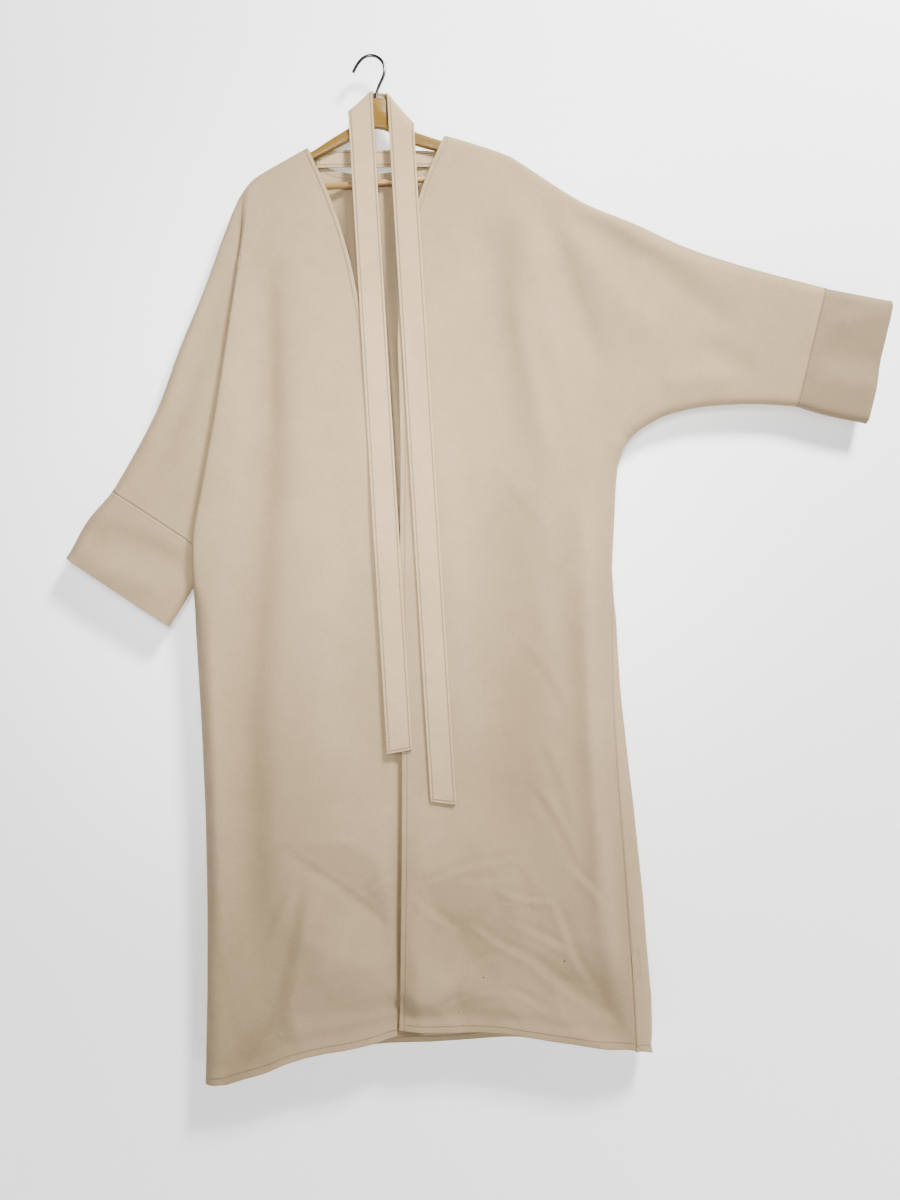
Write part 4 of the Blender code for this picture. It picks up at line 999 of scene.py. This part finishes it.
def add_stage():
    """Pale floor, and a wall that shows from the front only."""
    bpy.ops.mesh.primitive_plane_add(size=9.0, location=(0.0, -2.0, FLOOR_HEIGHT))
    floor = bpy.context.object
    floor.name = "floor"
    floor.data.materials.append(paint("floor_paint", (0.84, 0.845, 0.85, 1.0)).material)
    bpy.ops.mesh.primitive_plane_add(size=9.0, location=(0.0, WALL_BEHIND, FLOOR_HEIGHT + 4.5),
                                     rotation=(math.pi / 2, 0.0, 0.0))
    wall = bpy.context.object
    wall.name = "wall"
    made = paint("wall_paint", (0.95, 0.955, 0.965, 1.0))
    made.set(Emission_Color=(0.98, 0.99, 1.0, 1.0), Emission_Strength=0.5)
    clear = made.node("BsdfTransparent")
    behind = made.node("NewGeometry", "Backfacing")
    both = made.tree.nodes.new("ShaderNodeMixShader")
    made.put(both.inputs[0], behind)
    made.tree.links.new(made.shader.outputs[0], both.inputs[1])
    made.tree.links.new(clear.socket, both.inputs[2])
    made.tree.links.new(both.outputs[0], made.tree.nodes["Material Output"].inputs[0])
    wall.data.materials.append(made.material)


def add_light(name, place, target, size, power, colour, spread):
    lamp = bpy.data.lights.new(name, "AREA")
    lamp.shape = "DISK"
    lamp.size = size
    lamp.energy = power
    lamp.color = colour
    lamp.spread = math.radians(spread)
    light = bpy.data.objects.new(name, lamp)
    light.location = place
    light.rotation_euler = (Vector(target) - Vector(place)).to_track_quat("-Z", "Y").to_euler()
    bpy.context.collection.objects.link(light)


def add_camera():
    """Camera before the garment's front, turned a little about its own axis."""
    lens = bpy.data.cameras.new("camera")
    lens.sensor_width = 36.0
    lens.lens = 30.0
    camera = bpy.data.objects.new("camera", lens)
    up = Vector((math.sin(CAMERA_ROLL), 0.0, math.cos(CAMERA_ROLL)))
    ahead = Vector((0.0, 1.0, 0.0))
    side = ahead.cross(up)
    camera.matrix_world = Matrix.Translation(CAMERA_PLACE) @ Matrix((side, up, -ahead)).transposed().to_4x4()
    bpy.context.collection.objects.link(camera)
    bpy.context.scene.camera = camera


def add_room():
    """Even light from all round."""
    world = bpy.data.worlds.new("soft_room")
    bpy.context.scene.world = world
    world.use_nodes = True
    background = world.node_tree.nodes["Background"]
    background.inputs["Color"].default_value = ROOM_COLOUR
    background.inputs["Strength"].default_value = ROOM_GLOW


def take_place(piece, node, material):
    """Puts a finished piece in the place of its node."""
    piece.data.materials.append(material)
    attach(piece, "root")
    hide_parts(node)


# in metres
FLOOR_HEIGHT = -1.98
WALL_BEHIND = 0.041
CAMERA_PLACE = Vector((0.073, -1.606, -0.882))
CAMERA_ROLL = math.radians(3.6)
# name, place, aimed at, size, watts, colour, spread in degrees
LIGHTS = [("key", (1.25, -1.7, 1.1), (0.1, 0.0, -0.6), 0.6, 245.0, (1.0, 0.985, 0.96), 180.0),
          ("front", (0.02, -1.75, -0.55), (-0.02, 0.0, -0.66), 0.4, 5.0, (1.0, 0.99, 0.98), 50.0),
          ("behind", (0.5, 2.4, 0.6), (0.0, 0.0, -0.8), 2.0, 30.0, (1.0, 1.0, 1.0), 180.0)]
ROOM_COLOUR, ROOM_GLOW = (0.97, 0.98, 1.0, 1.0), 0.18

add_camera()
add_stage()
for light in LIGHTS:
    add_light(*light)
add_room()

cloth = build_cloth()
# painted light in the last argument: belt and strap painted lighter as if lit, the back lighter against
# the shade on its inside, the raised left cuff painted darker as if in shade
front_felt = felt("felted_cloth", HEM_BAND, EDGE_BAND, 0.2, 1.0)
belt_felt = felt("felted_cloth_belt_painted_light", BELT_BAND, BELT_BAND, 0.5, 1.28)
naps = {"front_right": front_felt, "front_left": front_felt, "belt": belt_felt, "neck_strap": belt_felt,
        "back": felt("felted_cloth_back_painted_light", HEM_BAND, EDGE_BAND, 0.2, 1.1),
        "cuff_right": felt("felted_cloth_cuff_right", 0.0, 0.0, 0.0, 1.0),
        "cuff_left": felt("felted_cloth_cuff_left_painted_shade", 0.0, 0.0, 0.0, 0.72)}
for node, part in cloth.items():
    take_place(part["piece"], node, naps[node])

sewing = sew(cloth)
arch = add_plate()
bar = add_rod("hanger_dowel", DOWEL_ENDS, DOWEL / 2 * MM, 32, DOWEL_TIP * MM)
hook = add_hook()
for piece, node, slot, material in (
        (arch, "hanger_wood", "varnished_wood", wood("arch_wood", WOOD_PALE, WOOD_DEEP, 0.3)),
        (bar, "hanger_bar", "pale_wood", wood("dowel_wood", DOWEL_PALE, DOWEL_DEEP, 0.42)),
        (hook, "hanger_hook", "chrome_wire", chrome())):
    take_place(piece, node, material)
